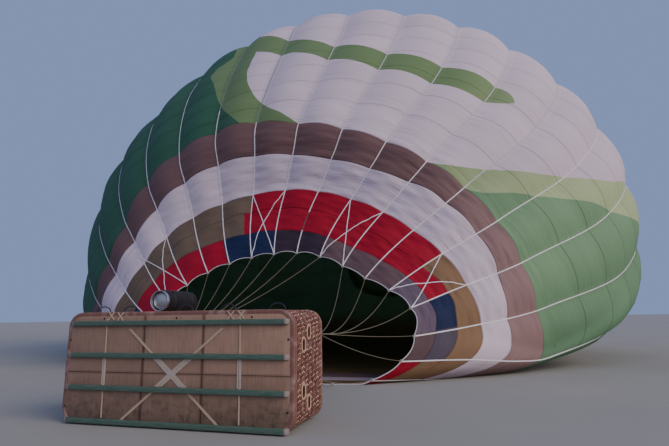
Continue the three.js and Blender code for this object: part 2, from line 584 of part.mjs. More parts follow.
// Flying wires: from each corner's karabiner to six points of the mouth hem, with their sag over span
function karabiner([sx, sz]) {
  const ring = new THREE.TorusGeometry(LINK.radius, LINK.bar, 6, 12);
  const position = ring.attributes.position;
  for (let i = 0; i < position.count; i += 1) {
    if (position.getY(i) > 0) position.setY(i, position.getY(i) + LINK.straight);
  }
  const seat = eyeY + LINK.seat + LINK.radius;
  return ring.translate(...onFrame(sx * lugAt.x, seat, sz * lugAt.z));
}
function wire([sx, sz], tape, slack) {
  const start = new THREE.Vector3(...onFrame(
    sx * lugAt.x, eyeY + LINK.seat + 2 * LINK.radius + LINK.straight, sz * lugAt.z));
  const hem = hemCentre(tape * STEPS_PER_GORE).centre;
  const end = hem.clone().add(start.clone().sub(hem).setLength(HEM_RADIUS / 2));
  const sag = slack * start.distanceTo(end);
  const points = Array.from({ length: WIRE_STEPS + 1 }, (_, i) => {
    const t = i / WIRE_STEPS;
    const p = start.clone().lerp(end, t);
    if (i > 0 && i < WIRE_STEPS) p.z = Math.max(p.z - 4 * sag * t * (1 - t), WIRE_LOWEST);
    return p;
  });
  const path = new THREE.CurvePath();
  for (let i = 0; i < WIRE_STEPS; i += 1) path.add(new THREE.LineCurve3(points[i], points[i + 1]));
  return tubeAlong(path, WIRE_RADIUS, 5, WIRE_STEPS);
}
const FANS = [
  { name: 'flying_wires_upper_right', corner: corners[0],
    sags: { 4: 0.03, 5: 0.01, 6: 0.05, 7: 0.09, 8: 0.11, 9: 0.1 } },
  { name: 'flying_wires_upper_left', corner: corners[1],
    sags: { 10: 0.03, 11: 0.05, 12: 0.06, 13: 0.06, 14: 0.05, 15: 0.05 } },
  { name: 'flying_wires_lower_left', corner: corners[2],
    sags: { 16: 0.04, 17: 0.04, 18: 0.05, 19: 0.05, 20: 0.05, 21: 0.05 } },
  { name: 'flying_wires_lower_right', corner: corners[3],
    sags: { 22: 0.05, 23: 0.05, 0: 0.05, 1: 0.05, 2: 0.04, 3: 0.03 } },
];
const hemRoom = hemBody(HEM_RADIUS + GAP);
for (const { name, corner, sags } of FANS) {
  const wires = Object.entries(sags).map(([tape, slack]) => wire(corner, Number(tape), slack));
  addNode(name, cut(join(karabiner(corner), ...wires), hemRoom), 'wire');
}

export default balloon;
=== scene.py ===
"""Hot air balloon while it is being filled: the looks of its envelope, lines, burners and basket.

Everything is in metres in the model's own frame: the basket lies on its long side with its floor facing -Y,
and the envelope lies on the ground behind it along +Y.
"""

import logging
import math
from collections.abc import Callable, Sequence
from dataclasses import dataclass, field
from enum import Enum

import bpy
import numpy as np
from mathutils import Matrix, Vector


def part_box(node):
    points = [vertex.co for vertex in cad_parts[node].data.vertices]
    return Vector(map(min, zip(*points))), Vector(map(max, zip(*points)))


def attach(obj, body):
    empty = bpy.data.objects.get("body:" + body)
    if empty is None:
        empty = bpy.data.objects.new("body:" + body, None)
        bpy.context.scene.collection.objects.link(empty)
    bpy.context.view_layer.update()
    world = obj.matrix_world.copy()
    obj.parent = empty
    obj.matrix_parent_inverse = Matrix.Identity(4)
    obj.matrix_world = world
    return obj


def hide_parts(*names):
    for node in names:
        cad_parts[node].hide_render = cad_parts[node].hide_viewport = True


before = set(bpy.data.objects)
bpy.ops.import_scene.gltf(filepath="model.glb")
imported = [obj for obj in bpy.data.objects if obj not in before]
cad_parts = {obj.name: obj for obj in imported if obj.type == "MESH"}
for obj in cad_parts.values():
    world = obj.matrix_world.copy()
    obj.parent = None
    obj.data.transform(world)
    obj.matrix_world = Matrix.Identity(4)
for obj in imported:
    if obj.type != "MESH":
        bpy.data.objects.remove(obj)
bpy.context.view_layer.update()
LOG = logging.getLogger("balloon")
Array = np.ndarray
Piece = bpy.types.Object
Material = bpy.types.Material
Colour3 = tuple[float, float, float]
Spot = tuple[float, float]
Place = Callable[[Array, Array], Array]
MARKS = "Marks"  # the UV map that patterns follow
FRAME_PLANE = -11.15  # the load frame's place along y


class Slot(Enum):
    """The record's material slots."""

    NAVY = "fabric_navy"
    RED = "fabric_red"
    WHITE = "fabric_white"
    BROWN = "fabric_brown"
    GREEN = "fabric_green"
    WEBBING = "webbing"
    WICKER = "wicker"
    LEATHER = "leather"
    PLYWOOD = "plywood"
    PAINTED = "painted_wood"
    TANK = "tank"
    JACKET = "jacket"
    STEEL = "steel"
    SLEEVE = "sleeve"
    WIRE = "wire"


class Value:
    """A number that changes over a surface: an output socket whose arithmetic adds Math nodes."""

    def __init__(self, graph: "Graph", socket: bpy.types.NodeSocket) -> None:
        """Wraps a socket of the graph."""
        self.graph = graph
        self.socket = socket

    def __add__(self, other: "Number") -> "Value":
        """self + other."""
        return self.graph.maths("ADD", self, other)

    __radd__ = __add__

    def __sub__(self, other: "Number") -> "Value":
        """self - other."""
        return self.graph.maths("SUBTRACT", self, other)

    def __rsub__(self, other: "Number") -> "Value":
        """other - self."""
        return self.graph.maths("SUBTRACT", other, self)

    def __mul__(self, other: "Number") -> "Value":
        """self * other."""
        return self.graph.maths("MULTIPLY", self, other)

    __rmul__ = __mul__

    def __truediv__(self, other: "Number") -> "Value":
        """self / other."""
        return self.graph.maths("DIVIDE", self, other)

    def over(self, edge: "Number") -> "Value":
        """1 where self is larger than the edge, and 0 elsewhere."""
        return self.graph.maths("GREATER_THAN", self, edge)

    def under(self, edge: "Number") -> "Value":
        """1 where self is smaller than the edge, and 0 elsewhere."""
        return self.graph.maths("LESS_THAN", self, edge)

    def larger(self, other: "Number") -> "Value":
        """The larger of the two."""
        return self.graph.maths("MAXIMUM", self, other)

    def fraction(self) -> "Value":
        """The part after the point."""
        return self.graph.maths("FRACT", self)

    def whole(self) -> "Value":
        """The whole number below."""
        return self.graph.maths("FLOOR", self)

    def size(self) -> "Value":
        """The value without its sign."""
        return self.graph.maths("ABSOLUTE", self)

    def sine(self) -> "Value":
        """The sine of the value in radians."""
        return self.graph.maths("SINE", self)

    def ramp(self, start: float, end: float, low: float = 0.0, high: float = 1.0,
             smooth: bool = True) -> "Value":
        """Goes from low at start to high at end, and stays level outside.

        Args:
            start: the value where the ramp begins.
            end: the value where it ends.
            low: the result at start.
            high: the result at end.
            smooth: whether its ends are eased.

        Returns:
            The ramp's value.
        """
        return self.graph.value(
            "ShaderNodeMapRange",
            {"interpolation_type": "SMOOTHSTEP" if smooth else "LINEAR", "clamp": True},
            {"Value": self, "From Min": start, "From Max": end, "To Min": low, "To Max": high},
        )


Number = Value | float
Paint = Value | Colour3


class Graph:
    """The nodes of one material, with a Principled shader at their end."""

    def __init__(self, name: str, **steady: float | Colour3) -> None:
        """Makes the material.

        Args:
            name: the material's name.
            steady: the shader's values that are the same all over, with _ for a space.
        """
        self.material = bpy.data.materials.new(name)
        self.material.use_nodes = True
        self.tree = self.material.node_tree
        self.shader = self.tree.nodes["Principled BSDF"]
        for key, value in steady.items():
            socket = self.shader.inputs[key.replace("_", " ")]
            socket.default_value = (*value, 1.0) if isinstance(value, tuple) else value

    def node(self, kind: str, settings: dict | None = None, inputs: dict | None = None) -> bpy.types.Node:
        """Adds any node.

        Args:
            kind: the node's type.
            settings: its properties; "stops" fills a ramp and "knots" a curve.
            inputs: values or links by the socket's name or identifier.

        Returns:
            The new node.
        """
        made = self.tree.nodes.new(kind)
        for key, value in (settings or {}).items():
            if key == "stops":
                self._fill_ramp(made.color_ramp, value)
            elif key == "knots":
                self._fill_curve(made.mapping, value)
            else:
                setattr(made, key, value)
        for key, value in (inputs or {}).items():
            socket = next(s for s in made.inputs if key in (s.identifier, s.name))
            self._feed(socket, value)
        return made

    def value(self, kind: str, settings: dict | None = None, inputs: dict | None = None) -> Value:
        """Adds any node and gives its first output."""
        return Value(self, self.node(kind, settings, inputs).outputs[0])

    def parts(self, vector: Value) -> tuple[Value, ...]:
        """A vector's x, y and z."""
        made = self.node("ShaderNodeSeparateXYZ", inputs={"Vector": vector})
        return tuple(Value(self, socket) for socket in made.outputs)

    def _feed(self, socket: bpy.types.NodeSocket, value: "Paint | Number") -> None:
        """Links a value to a socket, or sets the number or colour there."""
        if isinstance(value, Value):
            self.tree.links.new(value.socket, socket)
        elif isinstance(value, tuple) and socket.type == "RGBA":
            socket.default_value = (*value, 1.0)
        else:
            socket.default_value = value

    @staticmethod
    def _fill_ramp(ramp: bpy.types.ColorRamp, stops: Sequence[tuple[float, Colour3]]) -> None:
        """Sets a ramp's steps from (position, colour) pairs, each colour held up to the next."""
        ramp.interpolation = "CONSTANT"
        ramp.elements.remove(ramp.elements[1])
        for i, (position, colour) in enumerate(stops):
            stop = ramp.elements[0] if i == 0 else ramp.elements.new(position)
            stop.position = position
            stop.color = (*colour, 1.0)

    @staticmethod
    def _fill_curve(mapping: bpy.types.CurveMapping, knots: Sequence[Spot]) -> None:
        """Sets a curve's points."""
        curve = mapping.curves[0]
        for point, knot in zip(curve.points, (knots[0], knots[-1])):
            point.location = knot
        for knot in knots[1:-1]:
            curve.points.new(*knot)
        mapping.update()

    def maths(self, operation: str, *values: Number) -> Value:
        """Adds a Math node on one or two values."""
        made = self.node("ShaderNodeMath", {"operation": operation})
        for socket, value in zip(made.inputs, values):
            self._feed(socket, value)
        return Value(self, made.outputs[0])

    def mix(self, share: Number, low: Paint, high: Paint, how: str = "MIX") -> Value:
        """Mixes two colours.

        Args:
            share: how much of high there is.
            low: the colour at 0.
            high: the colour at 1.
            how: the Mix node's blend type.

        Returns:
            The mixed colour.
        """
        made = self.node(
            "ShaderNodeMix",
            {"data_type": "RGBA", "blend_type": how},
            {"Factor_Float": share, "A_Color": low, "B_Color": high},
        )
        return Value(self, next(s for s in made.outputs if s.identifier == "Result_Color"))

    def shaded(self, colour: Paint, light: Number) -> Value:
        """The colour made darker or lighter by a factor."""
        return self.mix(1.0, colour, light, how="MULTIPLY")

    def marks(self) -> tuple[Value, Value]:
        """The two numbers of the piece's own map."""
        return self.parts(self.value("ShaderNodeUVMap", {"uv_map": MARKS}))[:2]

    def place(self) -> tuple[Value, Value, Value]:
        """The surface point's x, y and z."""
        return self.parts(self.spot())

    def spot(self) -> Value:
        """The surface point in the object's own coordinates, as a vector."""
        return Value(self, self.node("ShaderNodeTexCoord").outputs["Object"])

    def vector(self, x: Number, y: Number, z: Number = 0.0) -> Value:
        """Three numbers as a vector."""
        return self.value("ShaderNodeCombineXYZ", inputs={"X": x, "Y": y, "Z": z})

    def noise(self, where: Value | None, scale: float, detail: float = 3.0, rough: float = 0.5) -> Value:
        """Soft noise from 0 to 1.

        Args:
            where: the vector it is read at, or None for the object's own coordinates.
            scale: how many lumps a unit of it holds.
            detail: how many finer layers it has.
            rough: how strong they are.

        Returns:
            The noise.
        """
        where = where or self.spot()
        inputs = {"Vector": where, "Scale": scale, "Detail": detail, "Roughness": rough}
        return self.value("ShaderNodeTexNoise", inputs=inputs)

    def cells(self, where: Value) -> Value:
        """A random number from 0 to 1 for each whole cell of a vector."""
        return self.value("ShaderNodeTexWhiteNoise", {"noise_dimensions": "3D"}, {"Vector": where})

    def curve(self, value: Value, knots: Sequence[Spot]) -> Value:
        """A smooth curve through a few points, held level past its ends."""
        xs, ys = [k[0] for k in knots], [k[1] for k in knots]
        low, high = min(ys), max(ys)
        place = value.ramp(xs[0], xs[-1], smooth=False)
        shares = [((x - xs[0]) / (xs[-1] - xs[0]), (y - low) / (high - low)) for x, y in knots]
        return self.value("ShaderNodeFloatCurve", {"knots": shares}, {"Value": place}) * (high - low) + low

    def steps(self, value: Value, stops: Sequence[tuple[float, Colour3]], span: float) -> Value:
        """Colours in steps: each stop's colour holds from its start on."""
        shares = [(x / span, colour) for x, colour in stops]
        return self.value("ShaderNodeValToRGB", {"stops": shares}, {"Fac": value / span})

    def finish(self, colour: Paint, roughness: Number, height: Value | None = None,
               depth: float = 0.01, **more: Number) -> Material:
        """Feeds the shader.

        Args:
            colour: the base colour.
            roughness: the roughness.
            height: the relief from 0 to 1, if there is any.
            depth: how deep the relief is, in metres.
            more: other sockets' values, with _ for a space.

        Returns:
            The material.
        """
        self._feed(self.shader.inputs["Base Color"], colour)
        self._feed(self.shader.inputs["Roughness"], roughness)
        for key, value in more.items():
            self._feed(self.shader.inputs[key.replace("_", " ")], value)
        if height is not None:
            bump = self.node("ShaderNodeBump", inputs={"Height": height, "Distance": depth, "Strength": 1.0})
            self.tree.links.new(bump.outputs[0], self.shader.inputs["Normal"])
        return self.material

    def let_through(self, colour: Paint, share: float) -> None:
        """Lets a share of the light through the surface.

        Args:
            colour: the colour of that light.
            share: how much of it passes.
        """
        thin = self.node("ShaderNodeBsdfTranslucent", inputs={"Color": colour})
        both = self.node("ShaderNodeMixShader", inputs={"Fac": share})
        self.tree.links.new(self.shader.outputs[0], both.inputs[1])
        self.tree.links.new(thin.outputs[0], both.inputs[2])
        self.tree.links.new(both.outputs[0], self.tree.nodes["Material Output"].inputs["Surface"])


# Finishes

GORES = 24  # panels round the envelope


@dataclass(frozen=True)
class BalloonFabric:
    """Coated nylon in rows of coloured panels. Its marks are (row, gore)."""

    red: Colour3 = (0.36, 0.004, 0.027)
    navy: Colour3 = (0.012, 0.022, 0.078)
    slate: Colour3 = (0.04, 0.025, 0.045)
    mauve: Colour3 = (0.13, 0.08, 0.095)
    lilac: Colour3 = (0.14, 0.102, 0.15)
    umber: Colour3 = (0.12, 0.073, 0.082)
    blue_grey: Colour3 = (0.092, 0.075, 0.11)
    olive: Colour3 = (0.16, 0.115, 0.085)
    tan: Colour3 = (0.25, 0.15, 0.085)
    white: Colour3 = (0.67, 0.57, 0.67)
    # painted light and shade on the brown row: a lit copy for the right and a shaded copy for the left
    brown_shaded: Colour3 = (0.165, 0.095, 0.1)
    brown_lit: Colour3 = (0.3, 0.19, 0.19)
    # painted light: the _lit copies of the two greens are for the side that faces the warm light
    green_dark: Colour3 = (0.035, 0.12, 0.07)
    green_dark_lit: Colour3 = (0.2, 0.35, 0.2)
    green_light: Colour3 = (0.16, 0.25, 0.11)
    green_light_lit: Colour3 = (0.44, 0.54, 0.3)
    # painted light: the colour that light shining through the panels gives the inner faces, green up high and
    # brown low down
    inner_glow: Colour3 = (0.27, 0.42, 0.25)
    inner_glow_low: Colour3 = (0.34, 0.21, 0.08)
    middle: tuple[float, float, float] = (0.0, 3.0, 5.0)
    seam_spacing: float = 0.78  # rows between the seams above the lower rows

    def material(self) -> Material:
        """Makes the material."""
        graph = Graph("balloon_fabric", Specular_IOR_Level=0.2)
        row, gore = graph.marks()
        seams = self._seams(graph, gore)
        colour = self._lower_rows(graph, row, gore, seams)
        colour = graph.mix(row.over(seams[4]), colour, self._upper(graph, row, gore))
        side = (gore.fraction() - 0.5).size()
        panel = graph.cells(graph.vector(gore.whole(), (row / self.seam_spacing).whole()))
        cloud = graph.noise(None, 0.35, 3.0)
        grime = graph.noise(None, 1.7, 4.0)
        x, y, z = graph.place()
        inside = self._inside(graph, (x, y, z))
        # painted light: the far inner faces take the colour of light glowing through the fabric instead of
        # the fabric's own
        inner_glow = graph.mix(z.ramp(0.7, 1.8, 1.0, 0.0), self.inner_glow, self.inner_glow_low)
        far = row.over(seams[4]).larger(y.over(10.0))
        colour = graph.mix(inside * far * 0.85, colour, inner_glow)
        low = z.ramp(0.0, 0.9, 1.0, 0.0)
        tone = 0.93 + panel * 0.07 + (cloud - 0.5) * 0.12 + (grime - 0.5) * 0.06
        # painted shadow: each gore is darker along its edges, where its load tape shades it
        tone = tone * (1 - side.ramp(0.478, 0.49) * 0.22) * (1 - low * grime * 0.45)
        line = self._lines(row, seams)
        colour = graph.shaded(colour, tone * (1 - line * 0.13))
        crease = graph.noise(graph.vector(row * 9.0, gore * 1.3), 1.0, 5.0, 0.62)
        pull = side.ramp(0.25, 0.5) * graph.noise(graph.vector(row * 18.0, gore * 1.6), 1.0, 2.0)
        height = crease * 0.55 + pull * 0.6 - line * 0.3
        graph.let_through(colour, 0.12 + inside * 0.3)
        return graph.finish(colour, 0.6 + grime * 0.14, height, 0.045)

    def _inside(self, graph: Graph, place: Sequence[Value]) -> Value:
        """1 on the shell's inner faces, which turn towards the envelope's middle."""
        found = Value(graph, graph.node("ShaderNodeNewGeometry").outputs["True Normal"])
        ways = [part * (spot - centre) for part, spot, centre in zip(graph.parts(found), place, self.middle)]
        return (ways[0] + ways[1] + ways[2]).under(0.0)

    @staticmethod
    def _seams(graph: Graph, gore: Value) -> list[Value]:
        """The rows where the five lowest seams run, at each place round the envelope."""
        return [
            graph.curve(gore, [(0, 0.6), (5.2, 0.6), (7.8, 0.74), (9.5, 0.64), (12, 0.7), (15, 0.84),
                               (17, 0.96), (24, 0.7)]),
            graph.curve(gore, [(0, 1.24), (5.2, 1.24), (6, 1.34), (6.8, 1.28), (13, 1.4), (24, 1.38)]),
            graph.curve(gore, [(0, 1.96), (15, 1.95), (18, 1.72), (24, 1.8)]),
            graph.curve(gore, [(0, 2.64), (4.4, 2.64), (6.5, 2.95), (8, 3.0), (10, 2.85), (12.5, 2.98),
                               (14.5, 3.1), (18, 2.64), (24, 2.7)]),
            graph.curve(gore, [(0, 3.6), (4.5, 3.6), (7, 3.76), (9, 3.76), (12, 3.95), (15, 4.3), (18, 3.4),
                               (24, 3.5)]),
        ]

    def _lower_rows(self, graph: Graph, row: Value, gore: Value, seams: Sequence[Value]) -> Value:
        """The coloured blocks round the mouth, the white row and the brown row."""
        first = graph.steps(gore, [(0, self.red), (4, self.umber), (5, self.lilac), (7, self.mauve),
                                   (10, self.slate), (12, self.navy), (14, self.red), (18, self.navy),
                                   (20, self.slate), (22, self.tan)], GORES)
        second = graph.steps(gore, [(0, self.tan), (4, self.blue_grey), (5, self.navy), (6, self.red),
                                    (13.2, self.olive), (22, self.tan)], GORES)
        third = graph.steps(gore, [(0, self.tan), (7, self.red), (13, self.olive), (22, self.tan)], GORES)
        # painted light and shade: the brown row turns from its lit copy to its shaded copy round the envelope
        brown = graph.mix(gore.ramp(5.5, 9.5), self.brown_lit, self.brown_shaded)
        colour = graph.mix(row.over(seams[0]), first, second)
        colour = graph.mix(row.over(seams[1]), colour, third)
        colour = graph.mix(row.over(seams[2]), colour, self.white)
        return graph.mix(row.over(seams[3]), colour, brown)

    def _upper(self, graph: Graph, row: Value, gore: Value) -> Value:
        """White with green sides and a light green stripe over the top; the greens are painted paler on the
        side that faces the warm light.
        """
        # painted light: the greens turn to their lit copies where the warm light falls
        lit = gore.ramp(3.2, 6.0, 0.4, 1.0) * gore.ramp(6.4, 10.0, 1.0, 0.0)
        light = graph.mix(lit, self.green_light, self.green_light_lit)
        dark = graph.mix(lit, self.green_dark, self.green_dark_lit)
        left_light = graph.curve(row, [(3.9, 11.9), (4.24, 12.36), (4.84, 12.92), (5.64, 13.32),
                                       (6.56, 13.52), (8.08, 13.56), (9.6, 13.7), (12, 14.4)])
        left_dark = graph.curve(row, [(3.9, 13.1), (4.56, 13.56), (5.52, 14.0), (6.84, 14.28), (7.8, 14.44),
                                      (8.72, 14.16), (9.8, 14.3), (12, 15.0)])
        right_light = graph.curve(row, [(3.75, 9.0), (3.96, 8.56), (4.56, 7.96), (5.12, 7.44), (6.08, 6.84),
                                        (6.8, 6.44), (7.88, 6.08), (10, 5.2), (12, 4.2)])
        right_dark = graph.curve(row, [(3.75, 8.1), (3.92, 7.72), (4.6, 7.24), (5.4, 6.68), (6.08, 6.28),
                                       (6.72, 5.88), (7.2, 5.64), (10, 4.4), (12, 3.2)])
        top = graph.curve(gore, [(8.55, 6.45), (8.9, 6.78), (10.0, 6.84), (11.1, 7.05), (12.16, 7.6),
                                 (13.24, 8.8), (13.9, 9.6)])
        bottom = graph.curve(gore, [(8.55, 6.45), (8.9, 6.16), (9.6, 6.05), (10.6, 6.12), (11.3, 6.3),
                                    (12.12, 6.76), (12.8, 7.32), (13.56, 8.08), (13.9, 8.5)])
        stripe = row.over(bottom) * row.under(top) * gore.over(8.55) * gore.under(13.9)
        sides = gore.over(left_light).larger(gore.under(right_light)) * row.under(12.2)
        deep = gore.over(left_dark).larger(gore.under(right_dark)) * row.under(11.0)
        colour = graph.mix(stripe.larger(sides), self.white, light)
        return graph.mix(deep, colour, dark)

    def _lines(self, row: Value, seams: Sequence[Value]) -> Value:
        """1 on the sewn seams across the gores."""
        lines = [(row - seam).size().ramp(0.008, 0.022, 1.0, 0.0) for seam in seams]
        upper = (((row - 4.0) / self.seam_spacing).fraction() - 0.5).size().ramp(0.475, 0.49) * row.over(4.3)
        for line in lines:
            upper = upper.larger(line)
        return upper


@dataclass(frozen=True)
class Webbing:
    """Woven tape or cord. On load tapes the marks are (row, gore)."""

    name: str
    colour: Colour3
    rib: float = 0.004
    hidden: bool = False  # whether some tapes lie under coloured fabric high up

    def material(self) -> Material:
        """Makes the material."""
        graph = Graph(self.name, Specular_IOR_Level=0.3, Sheen_Weight=0.1)
        x, y, z = graph.place()
        rib = ((x + y + z) / self.rib).sine()
        soil = graph.noise(None, 3.0, 4.0)
        colour = graph.shaded(self.colour, 0.78 + soil * 0.36 + rib * 0.05)
        if self.hidden:
            row, gore = graph.marks()
            under = gore.over(12.5) * gore.under(13.5) * row.over(4.2)
            under = under.larger(gore.over(13.5) * gore.under(14.5) * row.over(5.3)) * row.under(9.5)
            colour = graph.mix(under * 0.8, colour, (0.06, 0.13, 0.09))
            faint = gore.over(7.5) * gore.under(12.5) * row.over(3.9)
            colour = graph.mix(faint * 0.8, colour, (0.5, 0.46, 0.5))
            bound = gore.over(10.9) * gore.under(11.1) * row.over(0.7) * row.under(1.3)
            colour = graph.mix(bound * 0.9, colour, (0.03, 0.01, 0.015))
        return graph.finish(colour, 0.7 + soil * 0.15, rib * 0.5 + 0.5, 0.0008)


@dataclass(frozen=True)
class Leather:
    """Worn hide over padding or an edge."""

    name: str = "worn_leather"
    colour: Colour3 = (0.24, 0.115, 0.09)
    worn: Colour3 = (0.36, 0.24, 0.21)
    dark: Colour3 = (0.09, 0.045, 0.045)

    def material(self) -> Material:
        """Makes the material."""
        graph = Graph(self.name, Specular_IOR_Level=0.4)
        patches = graph.noise(None, 7.0, 5.0, 0.6)
        scuffs = graph.noise(None, 28.0, 6.0, 0.7)
        grain = graph.value("ShaderNodeTexVoronoi", {"feature": "DISTANCE_TO_EDGE"}, {"Scale": 220.0})
        colour = graph.mix(patches.ramp(0.48, 0.68), self.colour, self.worn)
        colour = graph.mix(scuffs.ramp(0.55, 0.72) * 0.55, colour, self.dark)
        height = grain.ramp(0.0, 0.25) * 0.25 + scuffs * 0.5 + patches * 0.6
        return graph.finish(colour, 0.5 + scuffs * 0.3, height, 0.003)


@dataclass(frozen=True)
class Weave:
    """The sizes of the willow's weave: braided bands round the wall, each of slanting strands."""

    band: float = 0.152
    strand: float = 0.034
    slant: float = 0.9  # how many strands the slant covers from a band's middle to its edge
    behind_shade: float = 0.72  # how strong the painted shade is on every other strand, where it passes behind its stake


@dataclass(frozen=True)
class Wicker:
    """Woven willow. Its marks are (up the wall, along the wall) in metres."""

    weave: Weave = Weave()
    light: Colour3 = (0.66, 0.37, 0.28)
    mid: Colour3 = (0.27, 0.095, 0.065)
    # painted shade: this colour is laid in the gaps between strands, at the bands' edges and on strands that
    # pass behind
    dark: Colour3 = (0.02, 0.006, 0.008)

    def material(self) -> Material:
        """Makes the material."""
        graph = Graph("woven_willow", Specular_IOR_Level=0.35)
        up, across = graph.marks()
        place = (up / self.weave.band).fraction()
        band = (up / self.weave.band).whole()
        lean = (place - 0.5).size() * 2.0 * self.weave.slant
        run = across / self.weave.strand + lean + band * 0.5
        strand = run.fraction()
        crown = 1 - (strand - 0.5).size() * 2.0
        tone = graph.cells(graph.vector(band, run.whole(), place.over(0.5)))
        wear = graph.noise(None, 5.0, 4.0)
        edge = (place - 0.5).size().ramp(0.36, 0.48)
        colour = graph.mix((tone * 0.75 + wear * 0.5).ramp(0.3, 0.95), self.mid, self.light)
        behind = ((run.whole() + band) / 2.0).fraction() * 2.0
        shadow = crown.ramp(0.2, 0.6, 1.0, 0.0).larger(edge).larger(behind * self.weave.behind_shade)
        colour = graph.mix(shadow * 0.92, colour, self.dark)
        fibre = graph.noise(graph.vector(up * 60.0, across * 60.0), 1.0, 2.0)
        height = crown.ramp(0.0, 0.7) * (1 - edge) * (1 - behind * 0.6) + fibre * 0.1
        return graph.finish(colour, 0.5 + wear * 0.25, height, 0.008)


@dataclass(frozen=True)
class Plywood:
    """The floor's outer face: weathered boards with their seams, stained from below."""

    base: Colour3 = (0.28, 0.165, 0.112)
    pale: Colour3 = (0.4, 0.27, 0.2)
    dirt: Colour3 = (0.075, 0.055, 0.04)
    upright_seams: Spot = (0.95, 1.92)
    level_seam: float = 0.73

    def material(self) -> Material:
        """Makes the material."""
        graph = Graph("weathered_plywood", Specular_IOR_Level=0.3)
        x, _, z = graph.place()
        grain = graph.noise(graph.vector(x * 55.0, 0.0, z * 2.5), 1.0, 4.0, 0.65)
        stain = graph.noise(graph.vector(x * 2.0, 0.0, z * 2.6), 1.0, 5.0, 0.6)
        splash = graph.noise(None, 9.0, 5.0, 0.7)
        board = graph.cells(graph.vector(x.over(self.upright_seams[0]) + x.over(self.upright_seams[1]),
                                         z.over(self.level_seam)))
        colour = graph.mix(grain.ramp(0.3, 0.75) * 0.6 + stain * 0.3, self.base, self.pale)
        colour = graph.shaded(colour, 0.82 + board * 0.16 + (stain - 0.5) * 0.5)
        low = z.ramp(0.02, 0.75, 1.0, 0.0)
        colour = graph.mix((low * splash.ramp(0.3, 0.7)).larger(low * low * 0.5) * 0.9, colour, self.dirt)
        spots = splash.ramp(0.66, 0.72) * 0.5
        colour = graph.mix(spots, colour, self.dirt)
        seam = (z - self.level_seam).size().ramp(0.003, 0.006, 1.0, 0.0)
        strip = (z - self.level_seam).size().ramp(0.02, 0.03, 1.0, 0.0) * 0.5
        for at in self.upright_seams:
            seam = seam.larger((x - at).size().ramp(0.004, 0.008, 1.0, 0.0))
            strip = strip.larger((x - at).size().ramp(0.022, 0.034, 1.0, 0.0))
        colour = graph.mix(strip * (0.35 + splash * 0.6), colour, (0.12, 0.06, 0.04))
        colour = graph.mix(seam * 0.9, colour, (0.05, 0.03, 0.025))
        return graph.finish(colour, 0.62 + grain * 0.2, grain * 0.3 - seam + splash * 0.2, 0.004)


@dataclass(frozen=True)
class PaintedRunner:
    """Green paint worn to grey wood at the ends and along the edges."""

    paint: Colour3 = (0.042, 0.108, 0.074)
    faded: Colour3 = (0.11, 0.15, 0.13)
    wood: Colour3 = (0.25, 0.21, 0.205)
    ends: Spot = (-0.355, 3.215)

    def material(self) -> Material:
        """Makes the material."""
        graph = Graph("worn_green_paint", Specular_IOR_Level=0.35)
        x, y, z = graph.place()
        streak = graph.noise(graph.vector(x * 5.0, y * 90.0, z * 90.0), 1.0, 4.0, 0.65)
        chips = graph.noise(None, 26.0, 5.0, 0.7)
        colour = graph.mix(streak.ramp(0.35, 0.7), self.paint, self.faded)
        left, right = self.ends
        tip = x.ramp(left, left + 0.09, 1.0, 0.0).larger(x.ramp(right - 0.09, right))
        bare = (tip * 1.2 + chips * 0.6 - 0.1).ramp(0.35, 0.62)
        colour = graph.mix(bare, colour, self.wood)
        colour = graph.mix(chips.ramp(0.62, 0.7) * 0.6, colour, (0.06, 0.045, 0.04))
        return graph.finish(colour, 0.55 + streak * 0.25, streak * 0.4 + chips * 0.6, 0.003)


@dataclass(frozen=True)
class Metal:
    """Brushed or cast metal, a little stained."""

    name: str
    colour: Colour3
    roughness: float = 0.34
    heat: bool = False  # whether it is tinted by flames towards +Y

    def material(self) -> Material:
        """Makes the material."""
        graph = Graph(self.name, Metallic=1.0)
        x, y, z = graph.place()
        brush = graph.noise(graph.vector(x * 140.0, y * 9.0, z * 140.0), 1.0, 3.0)
        stain = graph.noise(None, 11.0, 4.0, 0.6)
        colour = graph.shaded(self.colour, 0.8 + brush * 0.16 + (stain - 0.5) * 0.4)
        if self.heat:
            glow = (y + (stain - 0.5) * 0.12).ramp(-11.0, -10.72)
            colour = graph.mix(glow * 0.6, colour, (0.3, 0.19, 0.14))
        return graph.finish(colour, self.roughness + stain * 0.22, brush, 0.0008)


@dataclass(frozen=True)
class Nylon:
    """Quilted jacket cloth."""

    name: str = "jacket_nylon"
    colour: Colour3 = (0.006, 0.006, 0.011)

    def material(self) -> Material:
        """Makes the material."""
        graph = Graph(self.name, Specular_IOR_Level=0.4, Sheen_Weight=0.05, Sheen_Roughness=0.4)
        x, y, z = graph.place()
        weave = (x * 900.0).sine() * ((y + z) * 900.0).sine()
        fold = graph.noise(graph.vector(x * 6.0, y * 14.0, z * 14.0), 1.0, 4.0)
        dust = graph.noise(None, 12.0, 5.0, 0.6)
        colour = graph.mix(dust.ramp(0.5, 0.8) * 0.25, self.colour, (0.05, 0.045, 0.05))
        return graph.finish(colour, 0.6 + dust * 0.2, fold + weave * 0.04, 0.012)


@dataclass(frozen=True)
class Plain:
    """A small fitting's or the stage's finish with a little noise."""

    name: str
    colour: Colour3
    roughness: float = 0.5
    lumps: float = 20.0
    depth: float = 0.001

    def material(self) -> Material:
        """Makes the material."""
        graph = Graph(self.name, Specular_IOR_Level=0.35)
        speck = graph.noise(None, self.lumps, 4.0)
        colour = graph.shaded(self.colour, 0.88 + speck * 0.24)
        return graph.finish(colour, self.roughness + speck * 0.1, speck, self.depth)


